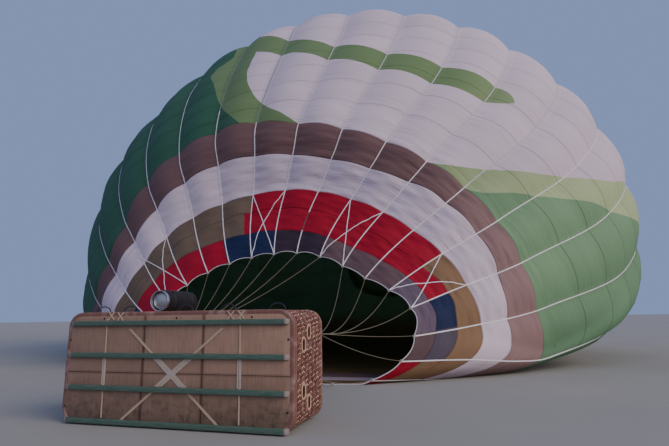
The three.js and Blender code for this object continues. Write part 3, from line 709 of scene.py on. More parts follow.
class Finishes:
    """Every finish of the balloon, each made once."""

    def __init__(self) -> None:
        """Makes the materials."""
        self.fabric = BalloonFabric().material()
        self.tape = Webbing("load_tape", (0.78, 0.75, 0.8), hidden=True).material()
        self.hem = Webbing("hem_cord", (0.62, 0.58, 0.6)).material()
        self.line = Webbing("aramid_line", (0.18, 0.162, 0.12), rib=0.003).material()
        self.lashing = Webbing("lashing", (0.5, 0.38, 0.28), rib=0.003).material()
        self.strap = Webbing("pale_strap", (0.44, 0.38, 0.34), rib=0.003).material()
        self.handle = Webbing("handle_rope", (0.02, 0.022, 0.045), rib=0.003).material()
        self.leather = Leather().material()
        self.binding = Leather("hole_binding", (0.5, 0.3, 0.2), (0.6, 0.4, 0.3), (0.2, 0.1, 0.08)).material()
        # painted shade: a near-black ring for the shade inside each foot hole
        self.hole_shade_ring = Leather("hole_shade", (0.02, 0.012, 0.01), (0.035, 0.02, 0.018),
                           (0.01, 0.006, 0.006)).material()
        self.trim = Leather("trim_hide", (0.2, 0.095, 0.075), (0.33, 0.21, 0.19),
                            (0.05, 0.025, 0.04)).material()
        self.sleeve = Leather("sleeve_hide", (0.2, 0.1, 0.08), (0.32, 0.22, 0.2)).material()
        self.wicker = Wicker().material()
        self.plywood = Plywood().material()
        self.runner = PaintedRunner().material()
        self.steel = Metal("satin_steel", (0.56, 0.57, 0.58)).material()
        self.burner = Metal("heated_steel", (0.58, 0.57, 0.56), 0.28, heat=True).material()
        self.tank = Metal("tank_steel", (0.46, 0.48, 0.5), 0.4).material()
        self.bright = Metal("bright_ring", (0.8, 0.82, 0.86), 0.2).material()
        self.jacket = Nylon().material()
        self.grip = Plain("grip_rubber", (0.3, 0.02, 0.02), 0.6).material()
        self.dark = Plain("dark_fittings", (0.02, 0.02, 0.022), 0.45).material()


# Tools

def eased(value: Array | float, start: float, end: float) -> Array:
    """A smooth step from 0 at start to 1 at end."""
    t = np.clip((np.asarray(value, dtype=float) - start) / (end - start), 0.0, 1.0)
    return t * t * (3 - 2 * t)


def turn(count: int) -> Array:
    """Angles spread evenly round a full turn."""
    return np.linspace(0, 2 * math.pi, count, endpoint=False)


def lengths(points: Array) -> Array:
    """The length of a path up to each of its points."""
    return np.concatenate(([0.0], np.cumsum(np.linalg.norm(np.diff(points, axis=0), axis=1))))


def along(at: Array | float, run: Array, points: Array) -> Array:
    """The places at some lengths along a path."""
    return np.stack([np.interp(at, run, points[:, k]) for k in range(points.shape[1])], axis=-1)


def closed(points: Array) -> tuple[Array, Array]:
    """A loop's points with the first one again at its end, and the length up to each."""
    points = np.vstack((points, points[:1]))
    return points, lengths(points)


def arch(gores: Array) -> Array:
    """0 at each load tape, and 1 midway between two."""
    share = gores - np.floor(gores)
    return 4 * share * (1 - share)


def unit(vectors: Array) -> Array:
    """The vectors at length 1."""
    return vectors / np.linalg.norm(vectors, axis=-1, keepdims=True)


class Bench:
    """The modelling steps that the pieces share."""

    @staticmethod
    def clear() -> None:
        """Leaves nothing selected."""
        bpy.ops.object.select_all(action="DESELECT")

    @staticmethod
    def pick(piece: Piece) -> Piece:
        """Selects one piece alone."""
        Bench.clear()
        piece.select_set(True)
        bpy.context.view_layer.objects.active = piece
        return piece

    @staticmethod
    def sheet(name: str, steps: tuple[int, int], place: Place, marks: Place | None = None,
              closed: bool = False) -> Piece:
        """A grid whose corners are laid out by a formula and whose meeting edges are merged.

        Args:
            name: the piece's name.
            steps: faces along the grid's first and second direction.
            place: gives the points for two arrays from 0 to 1.
            marks: gives the pattern's two numbers for the same arrays.
            closed: whether open ends are capped and the faces turned outwards.

        Returns:
            The new piece.
        """
        Bench.clear()
        bpy.ops.mesh.primitive_grid_add(x_subdivisions=steps[0], y_subdivisions=steps[1], size=1.0)
        piece = bpy.context.object
        piece.name = name
        mesh = piece.data
        flat = np.empty(len(mesh.vertices) * 3)
        mesh.vertices.foreach_get("co", flat)
        u, v = flat[0::3] + 0.5, flat[1::3] + 0.5
        mesh.vertices.foreach_set("co", np.ascontiguousarray(place(u, v), dtype=float).reshape(-1))
        layer = mesh.uv_layers[0]
        layer.name = MARKS
        if marks is not None:
            corner = np.empty(len(mesh.loops), dtype=np.int32)
            mesh.loops.foreach_get("vertex_index", corner)
            found = np.ascontiguousarray(marks(u, v)[corner], dtype=np.float32)
            layer.data.foreach_set("uv", found.reshape(-1))
        bpy.ops.object.mode_set(mode="EDIT")
        bpy.ops.mesh.select_all(action="SELECT")
        bpy.ops.mesh.remove_doubles(threshold=1e-5)
        if closed:
            bpy.ops.mesh.fill_holes(sides=0)
            bpy.ops.mesh.select_all(action="SELECT")
            bpy.ops.mesh.normals_make_consistent(inside=False)
        bpy.ops.object.mode_set(mode="OBJECT")
        return piece

    @staticmethod
    def tube(name: str, path: Sequence[Sequence[float]], radius: float | Sequence[float], sides: int = 8,
             loop: bool = False) -> Piece:
        """A round bar, cord or hose along a path.

        Args:
            name: the piece's name.
            path: its points.
            radius: one radius, or one for each point.
            sides: how many faces go round.
            loop: whether the path closes on itself, its first point not repeated.

        Returns:
            The new piece.
        """
        points = np.asarray(path, dtype=float)
        if loop:
            points = np.vstack((points, points[:1]))
        count = len(points)
        radii = np.broadcast_to(np.asarray(radius, dtype=float), (count,))
        ahead = np.gradient(points, axis=0)
        if loop:
            ahead[0] = ahead[-1] = points[1] - points[-2]
        ahead = unit(ahead)
        start = np.cross(ahead[0], (0.0, 0.0, 1.0))
        if np.linalg.norm(start) < 0.1:
            start = np.cross(ahead[0], (1.0, 0.0, 0.0))
        side = [unit(start)]
        for direction in ahead[1:]:
            side.append(unit(side[-1] - direction * side[-1].dot(direction)))
        side = np.array(side)
        if loop:
            other = np.cross(ahead[0], side[0])
            twist = math.atan2(side[-1].dot(other), side[-1].dot(side[0]))
            angles = -twist * np.arange(count) / (count - 1)
            third = np.cross(ahead, side)
            side = side * np.cos(angles)[:, None] + third * np.sin(angles)[:, None]
        third = np.cross(ahead, side)

        def place(u: Array, v: Array) -> Array:
            at = np.rint(v * (count - 1)).astype(int)
            angle = 2 * math.pi * u
            spoke = side[at] * np.cos(angle)[:, None] + third[at] * np.sin(angle)[:, None]
            return points[at] + spoke * radii[at][:, None]

        def marks(u: Array, v: Array) -> Array:
            return np.column_stack((u, lengths(points)[np.rint(v * (count - 1)).astype(int)]))

        return Bench.sheet(name, (sides, count - 1), place, marks, closed=True)

    @staticmethod
    def lathe(name: str, profile: Sequence[Spot], centre: Sequence[float], axis: str = "Y",
              steps: int = 32) -> Piece:
        """A profile extruded point by point and spun round an axis.

        Args:
            name: the piece's name.
            profile: (radius, height along the axis) from end to end, ends on the axis or meeting.
            centre: the point of the axis at height 0.
            axis: "Y", "-Y" or "Z".
            steps: faces round the axis.

        Returns:
            The new piece.
        """
        Bench.clear()
        bpy.ops.mesh.primitive_plane_add(size=0.01)
        piece = bpy.context.object
        piece.name = name
        bpy.ops.object.mode_set(mode="EDIT")
        bpy.ops.mesh.select_mode(type="VERT")
        bpy.ops.mesh.select_all(action="SELECT")
        bpy.ops.mesh.merge(type="CENTER")
        bpy.ops.transform.translate(value=(profile[0][0], 0.0, profile[0][1]))
        for (r, up), (next_r, next_up) in zip(profile, profile[1:]):
            step = (next_r - r, 0.0, next_up - up)
            bpy.ops.mesh.extrude_region_move(TRANSFORM_OT_translate={"value": step})
        bpy.ops.mesh.select_all(action="SELECT")
        bpy.ops.mesh.spin(steps=steps, angle=2 * math.pi, center=(0, 0, 0), axis=(0, 0, 1))
        bpy.ops.mesh.select_all(action="SELECT")
        bpy.ops.mesh.remove_doubles(threshold=1e-5)
        bpy.ops.mesh.normals_make_consistent(inside=False)
        bpy.ops.object.mode_set(mode="OBJECT")
        turned = {"Y": -math.pi / 2, "-Y": math.pi / 2, "Z": 0.0}[axis]
        piece.data.transform(Matrix.Translation(Vector(centre)) @ Matrix.Rotation(turned, 4, "X"))
        return piece

    @staticmethod
    def block(name: str, centre: Sequence[float], size: Sequence[float], bevel: float = 0.003) -> Piece:
        """A cube set to a size, its edges bevelled."""
        Bench.clear()
        bpy.ops.mesh.primitive_cube_add(size=1.0)
        piece = bpy.context.object
        piece.name = name
        piece.data.transform(Matrix.Translation(Vector(centre)) @ Matrix.Diagonal((*size, 1.0)))
        return Bench.bevelled(piece, bevel)

    @staticmethod
    def copy_of(node: str, name: str) -> Piece:
        """A clean copy of a node's solid, with its triangles joined into flat faces."""
        piece = bpy.data.objects.new(name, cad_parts[node].data.copy())
        bpy.context.scene.collection.objects.link(piece)
        Bench.pick(piece)
        bpy.ops.mesh.customdata_custom_splitnormals_clear()
        bpy.ops.object.mode_set(mode="EDIT")
        bpy.ops.mesh.select_all(action="SELECT")
        bpy.ops.mesh.remove_doubles(threshold=2e-5)
        bpy.ops.mesh.dissolve_limited(angle_limit=math.radians(1.0))
        bpy.ops.object.mode_set(mode="OBJECT")
        return piece

    @staticmethod
    def modified(piece: Piece, kind: str, **settings: object) -> Piece:
        """Gives a piece a modifier with its settings, and applies it."""
        Bench.pick(piece)
        change = piece.modifiers.new(kind.lower(), kind)
        for key, value in settings.items():
            setattr(change, key, value)
        bpy.ops.object.modifier_apply(modifier=change.name)
        return piece

    @staticmethod
    def bevelled(piece: Piece, width: float, segments: int = 2) -> Piece:
        """Rounds the edges."""
        return Bench.modified(piece, "BEVEL", width=width, segments=segments, limit_method="ANGLE",
                              angle_limit=math.radians(35.0))

    @staticmethod
    def walled(piece: Piece, thickness: float) -> Piece:
        """Gives a sheet a thickness below its face."""
        return Bench.modified(piece, "SOLIDIFY", thickness=thickness, offset=-1.0)

    @staticmethod
    def join(pieces: Sequence[Piece], name: str) -> Piece:
        """Joins pieces into one of that name."""
        Bench.clear()
        for piece in pieces:
            piece.select_set(True)
        bpy.context.view_layer.objects.active = pieces[0]
        if len(pieces) > 1:
            bpy.ops.object.join()
        pieces[0].name = name
        return pieces[0]

    @staticmethod
    def dress(piece: Piece, material: Material, slot: Slot, nodes: Sequence[str] = (),
              body: str = "balloon", smooth: float = 35.0) -> Piece:
        """Finishes a piece and hands it to the frame.

        Args:
            piece: the piece.
            material: its finish, laid on all its faces.
            slot: the record's slot. It is not used.
            nodes: the nodes it stands for.
            body: the body it rides on.
            smooth: the angle up to which faces are shaded as one, in degrees.

        Returns:
            The piece.
        """
        Bench.pick(piece)
        piece.data.materials.clear()
        piece.data.materials.append(material)
        bpy.ops.object.shade_smooth_by_angle(angle=math.radians(smooth))
        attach(piece, body)
        if nodes:
            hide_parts(*nodes)
        LOG.info("%s: %d faces, on %s", piece.name, len(piece.data.polygons), body)
        return piece


@dataclass(frozen=True)
class Outline:
    """A rectangle with round corners in the XZ plane."""

    length: float
    width: float
    corner: float
    steps: int = 10

    def points(self, offset: float = 0.0) -> tuple[Array, Array]:
        """The outline's points and outward directions, as (x, z).

        Args:
            offset: how far outside the outline the points lie.

        Returns:
            The points and their directions.
        """
        spots, outs = [], []
        for quarter, (sx, sz) in enumerate(((1, 1), (-1, 1), (-1, -1), (1, -1))):
            for i in range(self.steps + 1):
                angle = (quarter + i / self.steps) * math.pi / 2
                out = np.array((math.cos(angle), math.sin(angle)))
                middle = np.array((sx * (self.length / 2 - self.corner), sz * (self.width / 2 - self.corner)))
                spots.append(middle + (self.corner + offset) * out)
                outs.append(out)
        return np.array(spots), np.array(outs)


# Envelope

@dataclass(frozen=True)
class Section:
    """The envelope's section at one row: its sizes, heights and how far it leans, in metres."""

    row: float
    back: float
    half: float
    top: float
    widest: float
    foot: float
    lean: float
    tuck: float
    drift: float = 0.0


@dataclass(frozen=True)
class Slack:
    """How far the load tapes are turned at a row, in gores, and how far the slack mouth hangs in."""

    row: float
    turn: float
    slump: float = 0.0


SUNK = -0.25  # where the flat belly's foot would lie, below the ground


@dataclass
class EnvelopeForm:
    """The filled envelope's surface. A place on it is a row from the mouth and a gore round it."""

    mouth_y: float = -7.73
    samples: int = 288
    belly_power: float = 2 / 2.6
    ground_share: float = 0.76  # how much of its width slack cloth on the ground takes
    bulge: float = 0.09  # how far a gore swells, as a share of its width
    sections: tuple[Section, ...] = (
        Section(0, 0, 3.55, 3.24, 1.34, SUNK, 0.76, -1.0, 0.63),
        Section(2, 1.02, 5.57, 5.25, 1.05, SUNK, 0.44, -1.24, 0.1),
        Section(3, 1.89, 6.65, 6.39, 0.65, SUNK, -0.48, -1.11),
        Section(4, 2.82, 7.58, 7.42, 0.63, SUNK, -1.27, -1.1, -0.1),
        Section(6, 4.74, 9.63, 9.65, 2.0, SUNK, -1.95, -1.2),
        Section(8, 6.52, 10.74, 11.9, 4.25, SUNK, -2.0, -1.3),
        Section(10, 9.32, 10.93, 14.3, 5.1, SUNK, -2.65, -1.4),
        Section(12, 12.27, 10.21, 14.95, 5.35, SUNK, -2.8, -1.5),
        Section(15, 16.0, 9.2, 14.1, 5.35, SUNK, -2.2, -1.5),
        Section(18, 19.3, 6.6, 11.9, 5.5, 0.8, -1.4, -1.2),
        Section(20, 20.5, 4.0, 9.7, 5.65, 2.0, -0.7, -0.6),
        Section(21, 20.85, 2.6, 8.35, 5.7, 3.1, -0.35, -0.3),
        Section(22.8, 21.0, 0.0, 5.7, 5.7, 5.7, 0.0, 0.0),
    )
    slack: tuple[Slack, ...] = (
        Slack(0, 0.45, 0.14), Slack(2, -0.23, 0.04), Slack(3, -0.42), Slack(4, -0.52), Slack(9, -0.5),
        Slack(18, 0.0), Slack(22.8, 0.0),
    )

    _known: dict[float, tuple[Array, Array]] = field(default_factory=dict)  # sections made before

    @staticmethod
    def column(table: Sequence[Section | Slack], key: str, row: float) -> float:
        """A smooth curve through one column of a table.

        Args:
            table: the table, by rising row.
            key: the column's name.
            row: where it is read.

        Returns:
            The column's value there.
        """
        i = 0
        while i < len(table) - 2 and row > table[i + 1].row:
            i += 1

        def slope(k: int) -> float:
            before, after = table[max(k - 1, 0)], table[min(k + 1, len(table) - 1)]
            return (getattr(after, key) - getattr(before, key)) / (after.row - before.row)

        a, b = table[i], table[i + 1]
        span = b.row - a.row
        t = (row - a.row) / span
        return ((2 * t**3 - 3 * t**2 + 1) * getattr(a, key) + (t**3 - 2 * t**2 + t) * span * slope(i)
                + (3 * t**2 - 2 * t**3) * getattr(b, key) + (t**3 - t**2) * span * slope(i + 1))

    def section(self, row: float) -> tuple[Array, Array]:
        """The section's points from the middle of its foot, and the fabric's length up to each."""
        if row in self._known:
            return self._known[row]
        at = {key: self.column(self.sections, key, row)
              for key in ("back", "half", "top", "widest", "foot", "lean", "tuck", "drift")}
        slump = self.column(self.slack, "slump", row)
        angle = (np.arange(self.samples + 1) / self.samples - 0.25) * 2 * math.pi
        across, up = np.cos(angle), np.sin(angle)
        upper = up >= 0
        full = np.where(upper & (across > 0), 1 - slump * (2 * across * up) ** 2, 1.0)
        x = full * np.where(upper, across, np.sign(across) * np.abs(across) ** self.belly_power)
        z = np.where(upper, at["widest"] + (at["top"] - at["widest"]) * up * full,
                     at["widest"] - (at["widest"] - at["foot"]) * np.abs(up) ** self.belly_power)
        y = at["back"] + np.where(upper, at["lean"] * up, -at["tuck"] * up)
        points = np.column_stack((at["drift"] + at["half"] * x, self.mouth_y + y, np.maximum(z, 0.0)))
        step = np.linalg.norm(np.diff(points, axis=0), axis=1)
        taut = eased(points[1:, 2] + points[:-1, 2], 0.0, 1.2)
        step *= self.ground_share + (1 - self.ground_share) * taut
        run = np.concatenate(([0.0], np.cumsum(step)))
        self._known[row] = (points, run)
        return points, run

    def net(self, rows: Array, gores: Array) -> Array:
        """The points of the net that the load tapes span."""
        rows = np.round(rows, 5)
        result = np.empty((len(rows), 3))
        place = np.mod(gores, GORES)
        turned = eased(place, 4, 11) * (1 - eased(place, 18, 24))
        for row in np.unique(rows):
            here = rows == row
            points, run = self.section(float(row))
            twist = self.column(self.slack, "turn", float(row))
            wanted = (place[here] + twist * turned[here]) / GORES * run[-1]
            result[here] = along(wanted, run, points)
        return result

    def outward(self, rows: Array, gores: Array) -> Array:
        """The outward directions."""
        along_row = self.net(rows + 0.02, gores) - self.net(rows - 0.02, gores)
        along_gore = self.net(rows, gores + 0.2) - self.net(rows, gores - 0.2)
        return unit(np.cross(along_row, along_gore))

    def surface(self, rows: Array, gores: Array, lift: float = 0.0, relief: float = 1.0) -> Array:
        """Points of the fabric's outer face.

        Args:
            rows: the rows.
            gores: the gores.
            lift: how far the points lie above the fabric.
            relief: how much of the fabric's folds they follow.

        Returns:
            The points.
        """
        base = self.net(rows, gores)
        totals = {row: self.section(float(row))[1][-1] for row in np.unique(np.round(rows, 5))}
        width = np.array([totals[row] for row in np.round(rows, 5)]) / GORES
        rise = eased(base[:, 2], 0.0, 1.5)
        swell = arch(gores) * self.bulge * width * rise * (1 - eased(rows, 16, 20))
        swell *= 0.4 + 0.6 * eased(rows, 0, 3)
        swell += relief * self.folds(rows, gores, rise)
        points = base + self.outward(rows, gores) * (swell + lift)[:, None]
        points[:, 2] = np.maximum(points[:, 2], lift * 0.5)
        return points

    @staticmethod
    def folds(rows: Array, gores: Array, rise: Array) -> Array:
        """Puckers beside the load tapes, the pull of the seams and slow waves, in metres."""
        tape = np.round(gores)
        near = np.abs(gores - tape) / 0.13
        pucker = np.sin(2 * math.pi * (rows * 3.1 + tape * 0.37)) * np.sin(rows * 5.3 + tape)
        beside = near * np.exp(1 - near)
        seam = np.cos(2 * math.pi * rows / np.where(rows < 4, 1.0, 0.78))
        middle = arch(gores)
        wave = np.sin(rows * 2.3 + gores * 1.7) * np.sin(rows * 4.9 - gores * 0.9)
        strength = 1.0 - 0.55 * eased(rows, 3, 7)
        strong = (0.022 * pucker * beside + 0.03 * wave * middle) * strength
        return (strong - 0.008 * seam * middle) * rise


@dataclass
class Envelope:
    """The fabric, its tapes, the vent and the mouth's edge."""

    form: EnvelopeForm
    finishes: Finishes
    shell: float = 0.01  # the solids' thickness
    fabric: float = 0.004
    seam: float = 0.0002
    hem_radius: float = 0.012
    hem_gap: float = 0.0014
    scallop: float = 0.05  # how far the mouth's edge draws back between two tapes, in rows
    bands: tuple[tuple, ...] = (  # name, first row, last row, steps along, steps in a gore, slot
        ("mouth_row", 0.0, 0.75, 14, 12, Slot.NAVY),
        ("throat_row", 0.75, 2.0, 22, 12, Slot.RED),
        ("white_row", 2.0, 3.0, 20, 12, Slot.WHITE),
        ("brown_row", 3.0, 4.0, 18, 12, Slot.BROWN),
        ("main_panels", 4.0, 17.0, 125, 10, Slot.GREEN),
        ("crown_panels", 17.0, 21.0, 30, 10, Slot.WHITE),
    )
    crossed: tuple[tuple[int, int], ...] = ((6, 7), (9, 10), (12, 13), (16, 17))
    tape_width: float = 0.03
    cross_width: float = 0.024
    cross_end: float = 1.96  # the row where the crossed tapes end
    tape_end: float = 20.98
    vent_tape_start: float = 20.95
    valve_edge: float = 20.7
    valve_rows: float = 2.05
    vent_tape_width: float = 0.05
    vent_tape_row: float = 22.6  # where the vent tapes leave the fabric
    vent_tape_lift: float = 0.0045
    ring_radius: float = 0.15
    link_radius: float = 0.028
    valve_mark: Spot = (1.6, 9.5)  # a place in the pattern where the cloth is red
    peak: Vector = field(default_factory=lambda: Vector((0.0, 13.27, 5.7)))

    def build(self) -> None:
        """Makes every piece of the envelope."""
        for band in self.bands:
            self.band(*band)
        self.valve()
        self.crown()
        self.tapes()
        self.crossed_tapes()
        self.hem()

    def band(self, name: str, low: float, high: float, steps: int, per_gore: int, slot: Slot) -> None:
        """One band of panels all round, which stands for the node of the same name."""
        def rows(u: Array, gores: Array) -> Array:
            start = low + (self.scallop * arch(gores) if low == 0.0 else self.seam)
            return start + u * (high - self.seam - start)

        def place(u: Array, v: Array) -> Array:
            return self.form.surface(rows(u, v * GORES), v * GORES)

        def marks(u: Array, v: Array) -> Array:
            return np.column_stack((rows(u, v * GORES), v * GORES))

        piece = Bench.sheet(f"fabric_{name}", (steps, GORES * per_gore), place, marks)
        Bench.dress(Bench.walled(piece, self.fabric), self.finishes.fabric, slot, [name], smooth=60.0)

    def valve(self) -> None:
        """The parachute that closes the vent from inside, with its centre gathered."""
        def place(u: Array, v: Array) -> Array:
            rows = self.valve_edge + u * self.valve_rows
            points = self.form.surface(rows, v * GORES, lift=-self.shell - 0.003, relief=0.0)
            ripple = 0.012 * np.sin(v * 2 * math.pi * GORES) * u * (1 - u) * 4
            points[:, 1] += ripple
            points[u > 0.999] = self.peak - Vector((0.0, self.shell + 0.003, 0.0))
            return points

        def marks(u: Array, v: Array) -> Array:
            return np.column_stack((u * 0.0 + self.valve_mark[0], self.valve_mark[1] + 0.2 * u))

        piece = Bench.sheet("fabric_parachute", (16, GORES * 6), place, marks)
        Bench.dress(Bench.walled(piece, self.fabric), self.finishes.fabric, Slot.RED, ["parachute_valve"],
                    body="valve", smooth=60.0)

    def strip(self, name: str, ends: tuple[Spot, Spot], steps: int, width: float, lift: float) -> Piece:
        """A flat tape on the fabric, straight between two places.

        Args:
            name: the piece's name.
            ends: the (row, gore) of both ends.
            steps: faces along it.
            width: its width.
            lift: how far it lies above the fabric.

        Returns:
            The tape.
        """
        (row_a, gore_a), (row_b, gore_b) = ends

        def at(v: Array) -> tuple[Array, Array]:
            return row_a + (row_b - row_a) * v, gore_a + (gore_b - gore_a) * v

        def place(u: Array, v: Array) -> Array:
            rows, gores = at(v)
            middle = self.form.surface(rows, gores, lift)
            ahead = self.form.net(*at(v + 0.01)) - self.form.net(*at(v - 0.01))
            side = unit(np.cross(ahead, self.form.outward(rows, gores)))
            points = middle + side * ((u - 0.5) * width)[:, None]
            points[:, 2] = np.maximum(points[:, 2], lift * 0.5)
            return points

        def marks(u: Array, v: Array) -> Array:
            return np.column_stack(at(v))

        return Bench.walled(Bench.sheet(name, (1, steps), place, marks), -lift)

    def tapes(self) -> None:
        """The load tapes, from the mouth to the vent's edge."""
        strips = []
        for gore in range(GORES):
            ends = ((0.0, gore), (self.tape_end, gore))
            strips.append(self.strip(f"tape_{gore}", ends, 210, self.tape_width, 0.004))
        Bench.dress(Bench.join(strips, "load_tapes"), self.finishes.tape, Slot.WEBBING, smooth=60.0)

    def crossed_tapes(self) -> None:
        """The crossed tapes that spread the pull of the flying wires over the mouth's rows."""
        strips = [self.strip("strap", ((0.0, start), (self.cross_end, end)), 24, self.cross_width, 0.006)
                  for low, high in self.crossed for start, end in ((low, high), (high, low))]
        Bench.dress(Bench.join(strips, "crossed_tapes"), self.finishes.tape, Slot.WEBBING, smooth=60.0)

    def hem_line(self, gores: Array, scallop: float) -> Array:
        """The middle of the cord along the mouth's edge.

        Args:
            gores: where round the mouth.
            scallop: how far the edge draws back between the tapes, in rows.

        Returns:
            The points.
        """
        rows = scallop * arch(gores)

        def edge(r: Array, g: Array) -> Array:
            return self.form.surface(r, g, lift=-self.shell / 2, relief=0.0)

        ahead = unit(edge(rows, gores + 1 / 3) - edge(rows, gores - 1 / 3))
        back = edge(rows + 0.02, gores) - edge(rows, gores)
        back = unit(back - ahead * np.sum(back * ahead, axis=1, keepdims=True))
        points = edge(rows, gores) - back * (self.hem_radius + self.hem_gap)
        points[:, 2] = np.maximum(points[:, 2], self.hem_radius)
        return points

    def hem(self) -> None:
        """The cord sewn into the mouth's edge, with a link at each tape for its flying wire."""
        gores = np.arange(GORES * 8) / 8
        cord = Bench.tube("hem", self.hem_line(gores, self.scallop), self.hem_radius, 6, loop=True)
        links = []
        for point in self.hem_line(np.arange(GORES, dtype=float), 0.0):
            ring = [point + self.link_radius * np.array((math.cos(a), -0.6, math.sin(a))) for a in turn(10)]
            links.append(Bench.tube("link", ring, 0.006, 5, loop=True))
        Bench.dress(Bench.join([cord, *links], "mouth_edge_cord"), self.finishes.hem, Slot.WEBBING,
                    ["mouth_hem"])

    def crown(self) -> None:
        """The crown ring with the tapes that hold the parachute's edge in."""
        circle = [self.peak + Vector((self.ring_radius * math.cos(a), 0.0179, self.ring_radius * math.sin(a)))
                  for a in turn(48)]
        pieces = [Bench.tube("ring", circle, 0.014, 10, loop=True)]
        for gore in range(GORES):
            ends = ((self.vent_tape_start, gore), (self.vent_tape_row, gore))
            pieces.append(self.strip("vent_tape", ends, 12, self.vent_tape_width, self.vent_tape_lift))
            pieces.append(self.spoke(gore))
        Bench.dress(Bench.join(pieces, "crown_ring_tapes"), self.finishes.tape, Slot.WEBBING, ["crown_ring"])

    def spoke(self, gore: int) -> Piece:
        """The end of a vent tape, from the fabric to the crown ring."""
        start = self.form.surface(np.array([self.vent_tape_row]), np.array([float(gore)]),
                                  self.vent_tape_lift, 0.0)[0]
        inward = unit(np.array((start[0] - self.peak.x, 0.0, start[2] - self.peak.z)))
        end = np.array(self.peak) + inward * self.ring_radius + np.array((0.0, 0.012, 0.0))
        side = np.cross(inward, (0.0, 1.0, 0.0))

        def place(u: Array, v: Array) -> Array:
            width = self.vent_tape_width - 0.022 * v
            return start + (end - start) * v[:, None] + side * ((u - 0.5) * width)[:, None]

        return Bench.walled(Bench.sheet("spoke", (1, 4), place), 0.003)


# Flying wires

@dataclass
class FlyingWires:
    """Four fans of wires from the karabiners on the load frame to the mouth."""

    envelope: Envelope
    centre: Vector  # the middle of the load frame
    finishes: Finishes
    radius: float = 0.006
    steps: int = 22
    lowest: float = 0.03
    seat: float = 0.025 + 0.045 + 0.0079  # from the frame's middle to the lug's edge in the link
    link_radius: float = 0.03
    link_straight: float = 0.09
    link_bar: float = 0.007
    head: Spot = (1.4, 0.395)
    fans: tuple[tuple, ...] = (  # node, corner, and each gore's sag as a share of its span
        ("flying_wires_upper_right", (1, 1), {4: 0.03, 5: 0.01, 6: 0.05, 7: 0.09, 8: 0.11, 9: 0.1}),
        ("flying_wires_upper_left", (-1, 1), {10: 0.03, 11: 0.05, 12: 0.06, 13: 0.06, 14: 0.05, 15: 0.05}),
        ("flying_wires_lower_left", (-1, -1), {16: 0.04, 17: 0.04, 18: 0.05, 19: 0.05, 20: 0.05, 21: 0.05}),
        ("flying_wires_lower_right", (1, -1), {22: 0.05, 23: 0.05, 0: 0.05, 1: 0.05, 2: 0.04, 3: 0.03}),
    )

    def build(self) -> None:
        """Makes each fan and its karabiner."""
        for name, (sx, sz), sags in self.fans:
            x, z = self.centre.x + sx * self.head[0], self.centre.z + sz * self.head[1]
            eye = self.centre.y + self.seat + self.link_radius
            start = np.array((x, eye + self.link_radius + self.link_straight, z))
            wires = [self.wire(start, gore, slack) for gore, slack in sags.items()]
            Bench.dress(Bench.join(wires, f"{name}_lines"), self.finishes.line, Slot.WIRE, [name])
            Bench.dress(self.karabiner(name, x, eye, z), self.finishes.steel, Slot.STEEL)

    def wire(self, start: Array, gore: int, slack: float) -> Piece:
        """One wire with its swaged end."""
        hem = self.envelope.hem_line(np.array([float(gore)]), 0.0)[0]
        span = np.linalg.norm(hem - start)
        end = hem + (start - hem) / span * 0.006
        t = np.linspace(0, 1, self.steps)
        points = start + (end - start) * t[:, None]
        points[:, 2] -= 4 * slack * span * t * (1 - t)
        points[1:-1, 2] = np.maximum(points[1:-1, 2], self.lowest)
        radii = np.where((t > 0.001) & (t < 0.03), self.radius * 1.5, self.radius)
        return Bench.tube("wire", points, radii, 6)

    def karabiner(self, name: str, x: float, y: float, z: float) -> Piece:
        """A long karabiner with its gate's sleeve."""
        path = []
        for angle in turn(28):
            up = self.link_radius * math.sin(angle)
            straight = self.link_straight if up > 0 else 0.0
            path.append((x + self.link_radius * math.cos(angle), y + up + straight, z))
        ring = Bench.tube("ring", path, self.link_bar, 10, loop=True)
        sleeve = Bench.lathe("sleeve", [(0, 0), (0.0095, 0), (0.0105, 0.004), (0.0105, 0.04), (0.0095, 0.044),
                                        (0, 0.044)], (x + self.link_radius, y + 0.025, z), "Y", 16)
        return Bench.join([ring, sleeve], f"{name}_karabiner")


# Basket

